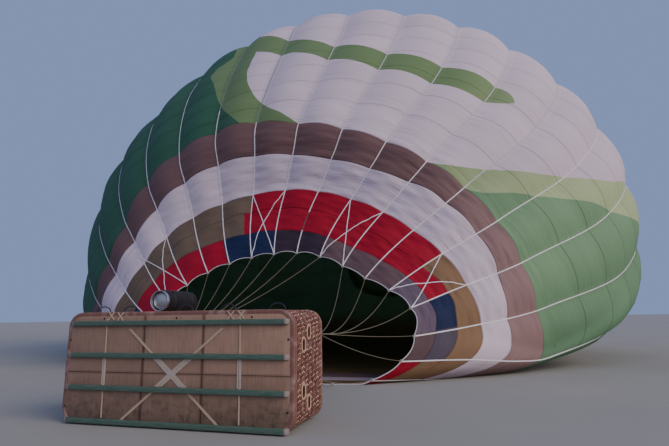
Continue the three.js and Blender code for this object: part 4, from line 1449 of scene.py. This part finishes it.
@dataclass
class Basket:
    """The wicker basket, its floor, runners, padding, lashings and what is tied to it.

    Heights are measured from the floor's outer face, which looks towards -Y.
    """

    finishes: Finishes
    length: float = 3.7
    width: float = 1.6
    corner: float = 0.23
    edge_depth: float = 0.01  # the edge hide's thickness
    wall_depth: float = 0.038
    wall_top: float = 1.15
    gap: float = 0.0003
    holes: tuple[Spot, ...] = ((0.385, 0.31), (0.6, 0.48))  # (height, distance from the middle)
    hole_size: Spot = (0.12, 0.055)
    hole_corner: float = 0.02
    frame_rise: float = 0.006  # how far the holes' binding stands out of the wall
    weave: Weave = Weave()
    weave_dip: float = 0.008  # how far the wall sinks between two bands
    strand_dip: float = 0.004
    roll_radius: float = 0.02
    rim_size: Spot = (0.0285, 0.0245)
    lace_spacing: float = 0.16
    lace_size: Spot = (0.0292, 0.0255)
    lace_radius: float = 0.003
    strap_depth: float = 0.005
    handle_size: Spot = (0.115, 0.1)  # half a loop's width, and how far it stands out
    handle_radius: float = 0.0085
    crosses: tuple[tuple[Spot, Spot], ...] = (((0.7, 1.35), (2.18, 0.08)), ((2.22, 1.35), (0.55, 0.01)))
    cross_band: Spot = (0.935, 0.555)  # between these heights the pale straps show
    upright_straps: Spot = (0.29, 2.49)
    ties: tuple[Spot, ...] = ((0.36, 1.541), (0.52, 1.53), (2.34, 1.525), (2.5, 1.53))
    handle_places: tuple[float, ...] = (0.16, 0.65, 1.59, 2.27, 3.01)
    bolt_places: tuple[Spot, ...] = (
        (0.23, 1.504), (1.477, 1.499), (2.661, 1.498), (-0.361, 1.191), (3.198, 1.199), (-0.373, 0.241),
        (3.189, 0.281),
    )
    middle: Vector = field(init=False)

    def __post_init__(self) -> None:
        """Finds the basket's place from its trim."""
        low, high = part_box("basket_trim")
        self.middle = Vector(((low.x + high.x) / 2, low.y, (low.z + high.z) / 2))

    def build(self) -> None:
        """Makes every piece of the basket."""
        self.trim()
        self.walls()
        self.partitions()
        self.rim()
        self.floor()
        self.lashings()
        self.handles()
        self.bolts()

    def outline(self, steps: int = 10) -> Outline:
        """The basket's outline, with a number of steps in each corner."""
        return Outline(self.length, self.width, self.corner, steps)

    def placed(self, spot: Array, height: Array | float) -> Array:
        """Points about the basket's middle, from their (x, z) and their height."""
        parts = self.middle.x + spot[..., 0], self.middle.y + height, self.middle.z + spot[..., 1]
        return np.stack(np.broadcast_arrays(*parts), axis=-1)

    def ring(self, name: str, profile: Sequence[Spot], wobble: float = 0.0) -> Piece:
        """A closed profile drawn round the basket's outline.

        Args:
            name: the piece's name.
            profile: closed (offset outwards, height) points.
            wobble: how far the hand-made surface strays.

        Returns:
            The ring.
        """
        spots, outs = (np.vstack((part, part[:1])) for part in self.outline().points())
        run = lengths(spots)
        shape = np.array([*profile, profile[0]])
        around = int(run[-1] / 0.03)
        stretch = np.arange(len(shape)) / (len(shape) - 1)

        def place(u: Array, v: Array) -> Array:
            at = v * run[-1]
            offset, up = along(u, stretch, shape).T
            stray = wobble * np.sin(at * 2 * math.pi * 9 / run[-1]) * np.sin(at * 2 * math.pi * 23 / run[-1])
            reach = (offset - np.abs(stray))[:, None]
            return self.placed(along(at, run, spots) + reach * along(at, run, outs), up)

        def marks(u: Array, v: Array) -> Array:
            return np.column_stack((u, v * run[-1]))

        return Bench.sheet(name, (len(shape) - 1, around), place, marks, closed=True)

    def trim(self) -> None:
        """Two bands of hide round the floor's edge, with the dark gap between them."""
        inner = self.ring("inner_band", [
            (-0.006, 0.0), (-0.002, 0.004), (-0.001, 0.03), (-0.002, 0.048), (-0.01, 0.05), (-0.01, 0.01),
            (-0.06, 0.008), (-0.061, 0.001), (-0.03, -0.002),
        ], 0.0015)
        outer = self.ring("outer_band", [
            (-0.002, 0.056), (0.0, 0.062), (0.0, 0.1), (-0.002, 0.11), (-0.009, 0.111), (-0.009, 0.055),
        ], 0.0015)
        Bench.dress(Bench.join([inner, outer], "floor_edge_hide"), self.finishes.trim, Slot.LEATHER,
                    ["basket_trim"], smooth=50.0)

    def woven(self, name: str, loop: Array, low: float, high: float) -> Piece:
        """A woven panel: a closed loop in the XZ plane, drawn up and covered with strands.

        Args:
            name: the piece's name.
            loop: the loop's (x, z) points about the basket's middle, anticlockwise.
            low: the panel's foot above the floor's outer face.
            high: its top.

        Returns:
            The panel.
        """
        points, run = closed(loop)
        weave = self.weave
        around = 3 * max(round(run[-1] / weave.strand), 4)
        steps = max(round((high - low) / weave.band * 7), 4)
        reach, border = 0.02, 0.006

        def place(u: Array, v: Array) -> Array:
            at = v * run[-1]
            near, far = (along(np.mod(at + step, run[-1]), run, points) for step in (-reach, reach))
            ahead = unit(far - near)
            up = low + u * (high - low)
            place_in = np.mod(up / weave.band, 1.0)
            edge = eased(np.abs(place_in - 0.5), 0.3, 0.5)
            lean = np.abs(place_in - 0.5) * 2 * weave.slant
            strand = 2 * math.pi * (at / weave.strand + lean + np.floor(up / weave.band) * 0.5)
            depth = self.weave_dip * edge + self.strand_dip * (1 - edge) * (0.5 + 0.5 * np.cos(strand))
            depth = np.where((u < 0.001) | (u > 0.999), border, depth)[:, None]
            return self.placed(along(at, run, points) + depth * ahead[:, ::-1] * (-1, 1), up)

        def marks(u: Array, v: Array) -> Array:
            return np.column_stack((low + u * (high - low), v * run[-1]))

        return Bench.sheet(name, (steps, around), place, marks, closed=True)

    def wall_loop(self, part: str) -> Array:
        """The loop of one of the wall's four panels, for its name."""
        sign = 1 if part in ("right", "upper") else -1
        edge = self.width / 2 - self.corner
        start = self.edge_depth + self.gap
        if part in ("left", "right"):
            far, near = self.length / 2 - start, self.length / 2 - start - self.wall_depth
            loop = np.array(((far, -edge), (far, edge), (near, edge), (near, -edge))) * (sign, 1)
        else:
            outer, inner = (self.outline().points(-start - depth)[0] for depth in (0.0, self.wall_depth))
            keep = outer[:, 1] * sign >= edge - 1e-6
            loop = np.vstack((outer[keep], inner[keep][::-1]))
        if np.sum(loop[:, 0] * np.roll(loop[:, 1], -1) - np.roll(loop[:, 0], -1) * loop[:, 1]) < 0:
            loop = loop[::-1]
        return loop

    def walls(self) -> None:
        """The four woven panels, with foot holes in the ends."""
        foot = self.edge_depth + self.gap
        for kind, part in (("end", "left"), ("end", "right"), ("side", "upper"), ("side", "lower")):
            piece = self.woven(f"woven_{kind}_{part}", self.wall_loop(part), foot, self.wall_top)
            if kind == "end":
                self.open_holes(piece)
            Bench.dress(piece, self.finishes.wicker, Slot.WICKER, [f"wicker_{kind}_{part}"])
            if kind == "end":
                frames = self.hole_rings(part, "frames", 0.018, 0.052, 1.0)
                Bench.dress(frames, self.finishes.binding, Slot.LEATHER)
                # painted shade: a near-black ring inside each foot hole's binding
                shade_rings = self.hole_rings(part, "shade_rings", -0.002, 0.02, 0.86)
                Bench.dress(shade_rings, self.finishes.hole_shade_ring, Slot.LEATHER)

    def hole_places(self) -> list[Spot]:
        """The foot holes' (y, z)."""
        return [(self.middle.y + up, self.middle.z + hand * side)
                for up, side in self.holes for hand in (-1, 1)]

    def open_holes(self, piece: Piece) -> None:
        """Cuts an end panel's foot holes through it."""
        x = (piece.bound_box[0][0] + piece.bound_box[6][0]) / 2
        size = (0.2, self.hole_size[1] + 0.002, self.hole_size[0] + 0.002)
        cutters = [Bench.block("cutter", (x, y, z), size, 0.012) for y, z in self.hole_places()]
        cutter = Bench.join(cutters, "cutters")
        Bench.modified(piece, "BOOLEAN", operation="DIFFERENCE", solver="EXACT", object=cutter)
        Bench.pick(cutter)
        bpy.ops.object.delete()

    def hole_rings(self, part: str, name: str, start: float, end: float, depth: float) -> Piece:
        """Rings of hide bound round each foot hole of an end.

        Args:
            part: left or right.
            name: what the rings are.
            start: where a ring starts, out from the hole's edge.
            end: where it ends.
            depth: its depth, as a share of the frames' full depth.

        Returns:
            The piece.
        """
        sign = 1 if part == "right" else -1
        frames = []
        middle = self.middle.x + sign * (self.length / 2 - self.edge_depth - self.gap - self.wall_depth / 2)
        half = (self.wall_depth / 2 + self.frame_rise) * depth
        soft = (end - start) * 0.2
        profile = [(start, -half * 0.8), (start + soft, -half), (end - soft, -half), (end, -half * 0.8),
                   (end, half * 0.8), (end - soft, half), (start + soft, half), (start, half * 0.8)]
        for y, z in self.hole_places():
            spots, outs = Outline(*self.hole_size, self.hole_corner, 4).points()
            rings = [(middle + sign * up, y + spot[1] + off * out[1], z + spot[0] + off * out[0])
                     for spot, out in zip(spots, outs) for off, up in profile]
            grid = np.array(rings).reshape(len(spots), len(profile), 3)

            def place(u: Array, v: Array, grid: Array = grid) -> Array:
                i = np.rint(v * grid.shape[0]).astype(int) % grid.shape[0]
                j = np.rint(u * grid.shape[1]).astype(int) % grid.shape[1]
                return grid[i, j]

            frames.append(Bench.sheet("hole", (len(profile), len(spots)), place, closed=True))
        return Bench.join(frames, f"foot_hole_{name}_{part}")

    def partitions(self) -> None:
        """The woven partitions inside, each with a padded roll on its top."""
        rolls = []
        for name in (f"{kind}_partition_{side}" for kind in ("cross", "side") for side in ("left", "right")):
            low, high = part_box(name)
            low, high = low - self.middle, high - self.middle
            loop = np.array(((high.x, low.z), (high.x, high.z), (low.x, high.z), (low.x, low.z)))
            piece = self.woven(f"woven_{name}", loop, low.y, high.y - 0.02)
            Bench.dress(piece, self.finishes.wicker, Slot.WICKER, [name])
            lengthways = high.x - low.x > high.z - low.z
            path = []
            for t in np.linspace(0, 1, 24):
                share = (t, 0.5) if lengthways else (0.5, t)
                path.append(self.middle + Vector((low.x + (high.x - low.x) * share[0], high.y - 0.014,
                                                  low.z + (high.z - low.z) * share[1])))
            radii = [self.roll_radius + 0.0015 * math.sin(i * 2.1) for i in range(len(path))]
            rolls.append(Bench.tube("roll", path, radii, 12))
        Bench.dress(Bench.join(rolls, "partition_rolls"), self.finishes.leather, Slot.LEATHER)

    def rim(self) -> None:
        """The padded rim, laced with cord."""
        middle = np.array((-0.029, self.wall_top + self.gap + 0.0247))
        profile = [middle + np.multiply(self.rim_size, (math.cos(a), math.sin(a))) for a in turn(16)]
        piece = self.ring("padded_rim", profile, 0.0025)
        Bench.dress(piece, self.finishes.leather, Slot.LEATHER, ["basket_rim"], smooth=60.0)
        points, run = closed(self.outline(6).points()[0])
        laces = []
        for at in np.arange(0.05, run[-1], self.lace_spacing):
            spot = along(at, run, points)
            ahead = unit(along(at + 0.01, run, points) - spot)
            out = np.array((ahead[1], -ahead[0]))
            angles = turn(14)[:, None]
            spots = spot + (middle[0] + self.lace_size[0] * np.cos(angles)) * out
            lace = self.placed(spots, middle[1] + self.lace_size[1] * np.sin(angles[:, 0]))
            laces.append(Bench.tube("lace", lace, self.lace_radius, 5, loop=True))
        Bench.dress(Bench.join(laces, "rim_lacing"), self.finishes.lashing, Slot.WEBBING)

    def floor(self) -> None:
        """The plywood floor and its four painted runners."""
        piece = Bench.bevelled(Bench.copy_of("basket_floor", "floor_boards"), 0.003)
        Bench.dress(piece, self.finishes.plywood, Slot.PLYWOOD, ["basket_floor"])
        for i in range(1, 5):
            piece = Bench.bevelled(Bench.copy_of(f"floor_runner_{i}", f"runner_{i}"), 0.006, 3)
            Bench.dress(piece, self.finishes.runner, Slot.PAINTED, [f"floor_runner_{i}"])

    def strap(self, start: Spot, end: Spot, width: float) -> Piece:
        """A flat strap on the floor's outer face between two (x, z) places."""
        a, b = np.array(start), np.array(end)
        ahead = (b - a) / np.linalg.norm(b - a)
        side = np.array((-ahead[1], ahead[0]))
        face = self.middle.y

        def place(u: Array, v: Array) -> Array:
            spot = a + (b - a) * v[:, None] + side * ((u - 0.5) * width)[:, None]
            crown = 0.0045 + 0.002 * (1 - (2 * u - 1) ** 2) + 0.0012 * np.sin(v * 37.0)
            return np.column_stack((spot[:, 0], face - crown, spot[:, 1]))

        steps = max(int(np.linalg.norm(b - a) / 0.03), 2)
        return Bench.walled(Bench.sheet("strap", (4, steps), place), self.strap_depth)

    def lashings(self) -> None:
        """The straps that cross the floor under its runners, and the ties over the edge hide."""
        pale, brown = [], []
        high, low = self.cross_band
        for (x0, z0), (x1, z1) in self.crosses:
            brown += [self.strap((x0 + shift, z0), (x1 + shift, z1), 0.012) for shift in (-0.014, 0.014)]
            for shift in (-0.05, -0.018, 0.018, 0.05):
                ends = [(x0 + (x1 - x0) * (z - z0) / (z1 - z0) + shift, z) for z in (high, low)]
                pale.append(self.strap(*ends, 0.016))
        for x in self.upright_straps:
            brown.append(self.strap((x, 1.5), (x + 0.01, 0.1), 0.02))
            pale += [self.strap((x + shift, high), (x + shift, low), 0.018) for shift in (-0.022, 0.022)]
        for x, z in self.ties:
            brown += [self.strap((x - lean, z - 0.06), (x + lean, z + 0.06), 0.016) for lean in (-0.05, 0.05)]
        Bench.dress(Bench.join(brown, "floor_lashings"), self.finishes.lashing, Slot.WEBBING)
        Bench.dress(Bench.join(pale, "floor_straps"), self.finishes.strap, Slot.WEBBING)

    def handles(self) -> None:
        """Rope loops along the floor's upper edge."""
        top = self.middle.z + self.width / 2
        loops = []
        for x in self.handle_places:
            path = [(x + self.handle_size[0] * math.cos(a), self.middle.y + 0.06 + 0.015 * math.sin(2 * a),
                     top - 0.02 + self.handle_size[1] * math.sin(a)) for a in np.linspace(0, math.pi, 22)]
            loops.append(Bench.tube("loop", path, self.handle_radius, 8))
        Bench.dress(Bench.join(loops, "rope_handles"), self.finishes.handle, Slot.WEBBING)

    def bolts(self) -> None:
        """The bolts' domed heads on the floor."""
        profile = [(0, 0.007), (0.008, 0.006), (0.014, 0.003), (0.016, 0.0), (0.016, -0.004), (0, -0.004)]
        heads = [Bench.lathe("bolt", profile, (x, self.middle.y, z), "-Y", 16) for x, z in self.bolt_places]
        Bench.dress(Bench.join(heads, "floor_bolts"), self.finishes.dark, Slot.STEEL)


@dataclass
class FuelCylinders:
    """The four cylinders in the basket and the jacketed one on its upper side."""

    finishes: Finishes
    strap_heights: Spot = (0.3, 0.68)  # as shares of a cylinder's height
    quilts: int = 8
    jacket_ends: Spot = (0.055, 0.02)  # how far the jacket stops short of the foot and of the top
    belt_ends: Spot = (0.18, 0.22)

    def build(self) -> None:
        """Makes the five cylinders."""
        straps = []
        for i in range(1, 5):
            centre, radius, height = self.place(f"fuel_cylinder_{i}")
            pieces = [self.shell(centre, radius, height), self.valve(centre, height)]
            piece = Bench.join(pieces, f"cylinder_{i}")
            Bench.dress(piece, self.finishes.tank, Slot.TANK, [f"fuel_cylinder_{i}"])
            for up in self.strap_heights:
                straps.append(self.belt("strap", centre, up * height, (radius * 0.995, radius + 0.005),
                                        (0.05, 0.004), 40))
        Bench.dress(Bench.join(straps, "cylinder_straps"), self.finishes.leather, Slot.LEATHER)
        self.jacketed()

    @staticmethod
    def place(node: str) -> tuple[tuple[float, float, float], float, float]:
        """A lying cylinder's foot, radius and height."""
        low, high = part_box(node)
        centre = ((low.x + high.x) / 2, low.y, (low.z + high.z) / 2)
        return centre, (high.z - low.z) / 2, high.y - low.y

    @staticmethod
    def belt(name: str, centre: Sequence[float], at: float, radii: Spot, sizes: Spot, steps: int) -> Piece:
        """A flat belt round a cylinder.

        Args:
            name: the piece's name.
            centre: the cylinder's foot.
            at: where the belt starts above it.
            radii: the belt's inner and outer radius.
            sizes: its width, and the slope at its edges.
            steps: faces round it.

        Returns:
            The belt.
        """
        (inner, outer), (width, slope) = radii, sizes
        band = [(inner, at), (outer, at + slope), (outer, at + width - slope), (inner, at + width),
                (inner, at)]
        return Bench.lathe(name, band, centre, "Y", steps)

    @staticmethod
    def shell(centre: Sequence[float], radius: float, height: float) -> Piece:
        """A welded cylinder on its foot ring, with a guard collar on top."""
        r, h = radius, height
        profile = [
            (0, 0.035), (0.6 * r, 0.026), (0.79 * r, 0.012), (0.79 * r, 0.002), (0.82 * r, 0),
            (0.87 * r, 0.002), (0.87 * r, 0.045), (0.96 * r, 0.07), (r, 0.11), (r, h * 0.5 - 0.006),
            (r * 1.004, h * 0.5), (r, h * 0.5 + 0.006), (r, h - 0.15), (0.96 * r, h - 0.11),
            (0.8 * r, h - 0.085), (0.62 * r, h - 0.075), (0.62 * r, h - 0.004), (0.6 * r, h), (0.57 * r, h),
            (0.56 * r, h - 0.004), (0.56 * r, h - 0.07), (0.3 * r, h - 0.066), (0, h - 0.064),
        ]
        return Bench.lathe("shell", profile, centre, "Y", 48)

    @staticmethod
    def valve(centre: Sequence[float], height: float) -> Piece:
        """The valve with its hand wheel inside the collar."""
        base = height - 0.068
        profile = [(0, base), (0.022, base), (0.022, base + 0.018), (0.012, base + 0.02),
                   (0.012, base + 0.036), (0.03, base + 0.038), (0.033, base + 0.046), (0.03, base + 0.054),
                   (0, base + 0.056)]
        return Bench.lathe("valve", profile, centre, "Y", 20)

    def jacketed(self) -> None:
        """The cylinder in its padded jacket, with its bare dome and foot ring towards -Y."""
        centre, r, length = self.place("jacketed_cylinder")
        start, end = self.jacket_ends[0], length - self.jacket_ends[1]
        step = (end - start - 0.13) / self.quilts
        cover = [(0, start + 0.05), (0.86 * r, start + 0.045), (0.88 * r, start), (0.93 * r, start - 0.005),
                 (0.975 * r, start + 0.02)]
        for k in range(self.quilts):
            at = start + 0.03 + step * k
            cover += [(0.975 * r, at), (0.995 * r, at + step * 0.5)]
        cover += [(0.975 * r, end - 0.1), (0.95 * r, end - 0.05), (0.84 * r, end - 0.015), (0.6 * r, end),
                  (0, end + 0.004)]
        piece = Bench.lathe("padded_jacket", cover, centre, "Y", 56)
        piece = Bench.dress(piece, self.finishes.jacket, Slot.JACKET, ["jacketed_cylinder"], smooth=60.0)
        dome = [(0, 0.012), (0.3 * r, 0.016), (0.6 * r, 0.03), (0.78 * r, 0.05), (0.845 * r, 0.08), (0, 0.09)]
        Bench.dress(Bench.lathe("cylinder_dome", dome, centre, "Y", 48), self.finishes.tank, Slot.TANK,
                    smooth=60.0)
        ring = [(0.86 * r, 0.07), (0.86 * r, 0.012), (0.875 * r, 0.002), (0.9 * r, 0.001), (0.92 * r, 0.01),
                (0.925 * r, 0.03), (0.91 * r, 0.075), (0.86 * r, 0.07)]
        Bench.dress(Bench.lathe("bright_ring", ring, centre, "Y", 64), self.finishes.bright, Slot.STEEL,
                    smooth=50.0)
        straps = [self.belt("belt", centre, at, (0.98 * r, r), (0.04, 0.003), 56)
                  for at in (self.belt_ends[0], length - self.belt_ends[1])]
        buckle = (centre[0] + 0.6 * r, centre[1] + 0.2, centre[2] + 0.78 * r)
        straps.append(Bench.block("buckle", buckle, (0.03, 0.045, 0.03), 0.005))
        Bench.dress(Bench.join(straps, "jacket_belts"), self.finishes.dark, Slot.JACKET)


# Burners

@dataclass
class Burners:
    """The load frame with its uprights, the gimbal and the two burners."""

    centre: Vector  # the middle of the load frame
    finishes: Finishes
    can_radius: float = 0.14
    can_wall: float = 0.004
    coil_radius: float = 0.112
    coil_bar: float = 0.009
    coil_turns: int = 5
    coil_pitch: float = 0.062
    reach: float = 0.19  # from the frame's middle to a burner's axis
    flange: float = 0.0153 + 0.008
    sleeve_radius: float = 0.0305
    gap: float = 0.0003

    def build(self) -> None:
        """Makes the frame, the gimbal and the burners."""
        for node, name, body in (("burner_frame", "load_frame", "balloon"),
                                 ("gimbal_ring", "gimbal", "gimbal"), ("burner_cradle", "cradle", "burners")):
            piece = Bench.bevelled(Bench.copy_of(node, name), 0.003)
            Bench.dress(piece, self.finishes.steel, Slot.STEEL, [node], body=body)
        self.uprights()
        for side, part in ((-1, "left"), (1, "right")):
            self.burner(self.centre.x + side * self.reach, part)

    def uprights(self) -> None:
        """The four rods in their laced sleeves."""
        for i in range(1, 5):
            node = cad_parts[f"upright_{i}"]
            spots = np.array([v.co for v in node.data.vertices])
            low = spots[spots[:, 1] < spots[:, 1].min() + 0.001].mean(axis=0)
            high = spots[spots[:, 1] > spots[:, 1].max() - 0.001].mean(axis=0)
            t = np.linspace(0, 1, 36)
            path = low + (high - low) * t[:, None]
            radii = self.sleeve_radius + 0.0012 * np.sin(t * 60) - 0.006 * (t < 0.02) - 0.006 * (t > 0.98)
            piece = Bench.tube(f"sleeve_{i}", path, radii, 16)
            Bench.dress(piece, self.finishes.sleeve, Slot.SLEEVE, [f"upright_{i}"], smooth=60.0)

    def burner(self, x: float, part: str) -> None:
        """One burner: its block, can, coil, jets and lever."""
        y, z = self.centre.y, self.centre.z
        block = Bench.bevelled(Bench.copy_of(f"burner_block_{part}", f"block_{part}"), 0.002)
        Bench.dress(block, self.finishes.steel, Slot.STEEL, [f"burner_block_{part}"], body="burners")
        low = self.flange + self.gap
        r, t = self.can_radius, self.can_wall
        wall = [(r - t, low), (r - 0.001, low), (r - 0.001, low + 0.06), (r, low + 0.066),
                (r - 0.001, low + 0.072), (r - 0.001, low + 0.34), (r, low + 0.346), (r - 0.001, low + 0.352),
                (r - 0.001, low + 0.412), (r, low + 0.417), (r - 0.003, low + 0.42), (r - 0.007, low + 0.417),
                (r - t - 0.001, low + 0.41), (r - t - 0.001, low + 0.2), (r - t, low)]
        can = Bench.lathe(f"can_{part}", wall, (x, y, z), "Y", 64)
        Bench.dress(can, self.finishes.burner, Slot.STEEL, [f"burner_can_{part}"], body="burners")
        angle = np.linspace(0, self.coil_turns * 2 * math.pi, self.coil_turns * 26)
        path = np.column_stack((x + self.coil_radius * np.cos(angle),
                                y + low + self.coil_bar + angle / (2 * math.pi) * self.coil_pitch,
                                z + self.coil_radius * np.sin(angle)))
        coil = Bench.tube(f"coil_{part}", path, self.coil_bar, 10)
        Bench.dress(coil, self.finishes.burner, Slot.STEEL, [f"burner_coil_{part}"], body="burners")
        grip = Bench.tube("grip", [(x + 0.04, y - 0.19 - 0.012 * k, z) for k in range(10)],
                          [0.012 + 0.0015 * (k % 2) for k in range(10)], 12)
        knob = Bench.lathe("knob", [(0, 0), (0.024, 0.002), (0.027, 0.012), (0.024, 0.022), (0, 0.024)],
                           (x - 0.05, y - 0.165, z), "-Y", 18)
        Bench.dress(Bench.join([grip, knob], f"lever_grips_{part}"), self.finishes.grip, Slot.STEEL,
                    body="burners")
        dial = [(0, 0), (0.03, 0), (0.032, 0.004), (0.032, 0.018), (0.028, 0.022), (0.026, 0.017), (0, 0.017)]
        gauge = Bench.lathe(f"gauge_{part}", dial, (x, y - 0.09, z + 0.06), "Z", 28)
        Bench.dress(gauge, self.finishes.bright, Slot.STEEL, body="burners")


# Stage

@dataclass
class Stage:
    """The camera, the light and the plain floor."""

    place: tuple[float, float, float] = (5.65, -19.36, 1.493)
    heading: float = math.radians(16.4)
    pitch: float = math.radians(10.93)
    roll: float = math.radians(-0.77)
    focal_pixels: float = 483.0
    picture_width: int = 669
    sensor: float = 36.0
    far: float = 1500.0
    sky: tuple[float, float, float, float] = (0.4, 0.53, 0.95, 1.0)
    sky_strength: float = 0.58
    lamps: tuple[tuple, ...] = (  # name, colour, strength, spread in degrees, where it stands
        ("key", (1.0, 0.84, 0.66), 2.5, 45.0, (0.9, -0.32, 0.5)),
        ("fill", (1.0, 0.86, 0.74), 0.35, 90.0, (0.1, -0.9, 0.5)),
    )
    floor_width: float = 700.0
    floor_level: float = -0.003

    def camera(self) -> None:
        """The camera at the photograph's place and angle."""
        data = bpy.data.cameras.new("camera")
        data.sensor_fit, data.sensor_width = "HORIZONTAL", self.sensor
        data.lens = self.focal_pixels / self.picture_width * self.sensor
        data.clip_end = self.far
        tilted = Matrix.Rotation(math.pi / 2 + self.pitch, 4, "X") @ Matrix.Rotation(self.roll, 4, "Z")
        turned = Matrix.Rotation(self.heading, 4, "Z") @ tilted
        camera = bpy.data.objects.new("camera", data)
        camera.matrix_world = Matrix.Translation(Vector(self.place)) @ turned
        bpy.context.scene.collection.objects.link(camera)
        bpy.context.scene.camera = camera

    def light(self) -> None:
        """Blue light from the sky, and a warm glow low on the right."""
        world = bpy.data.worlds.new("studio")
        world.use_nodes = True
        surround = world.node_tree.nodes["Background"]
        surround.inputs["Color"].default_value = self.sky
        surround.inputs["Strength"].default_value = self.sky_strength
        bpy.context.scene.world = world
        for name, colour, strength, spread, toward in self.lamps:
            data = bpy.data.lights.new(name, "SUN")
            data.color, data.energy, data.angle = colour, strength, math.radians(spread)
            lamp = bpy.data.objects.new(name, data)
            lamp.rotation_euler = Vector(toward).to_track_quat("Z", "Y").to_euler()
            bpy.context.scene.collection.objects.link(lamp)

    def floor(self) -> None:
        """A plain pale floor."""
        Bench.clear()
        bpy.ops.mesh.primitive_grid_add(x_subdivisions=8, y_subdivisions=8, size=self.floor_width)
        ground = bpy.context.object
        ground.name = "studio_floor"
        ground.data.transform(Matrix.Translation((0, 0, self.floor_level)))
        ground.data.materials.append(Plain("studio_floor", (0.3, 0.3, 0.285), 0.9, 0.3, 0.0).material())


def main() -> None:
    """Builds the camera, the balloon and the stage in order."""
    logging.basicConfig(level=logging.INFO, format="%(name)s: %(message)s")
    stage = Stage()
    stage.camera()
    finishes = Finishes()
    low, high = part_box("burner_frame")
    centre = Vector(((low.x + high.x) / 2, FRAME_PLANE, (low.z + high.z) / 2))
    envelope = Envelope(EnvelopeForm(), finishes)
    envelope.build()
    FlyingWires(envelope, centre, finishes).build()
    Basket(finishes).build()
    FuelCylinders(finishes).build()
    Burners(centre, finishes).build()
    stage.light()
    stage.floor()


if __name__ == "__main__":
    main()
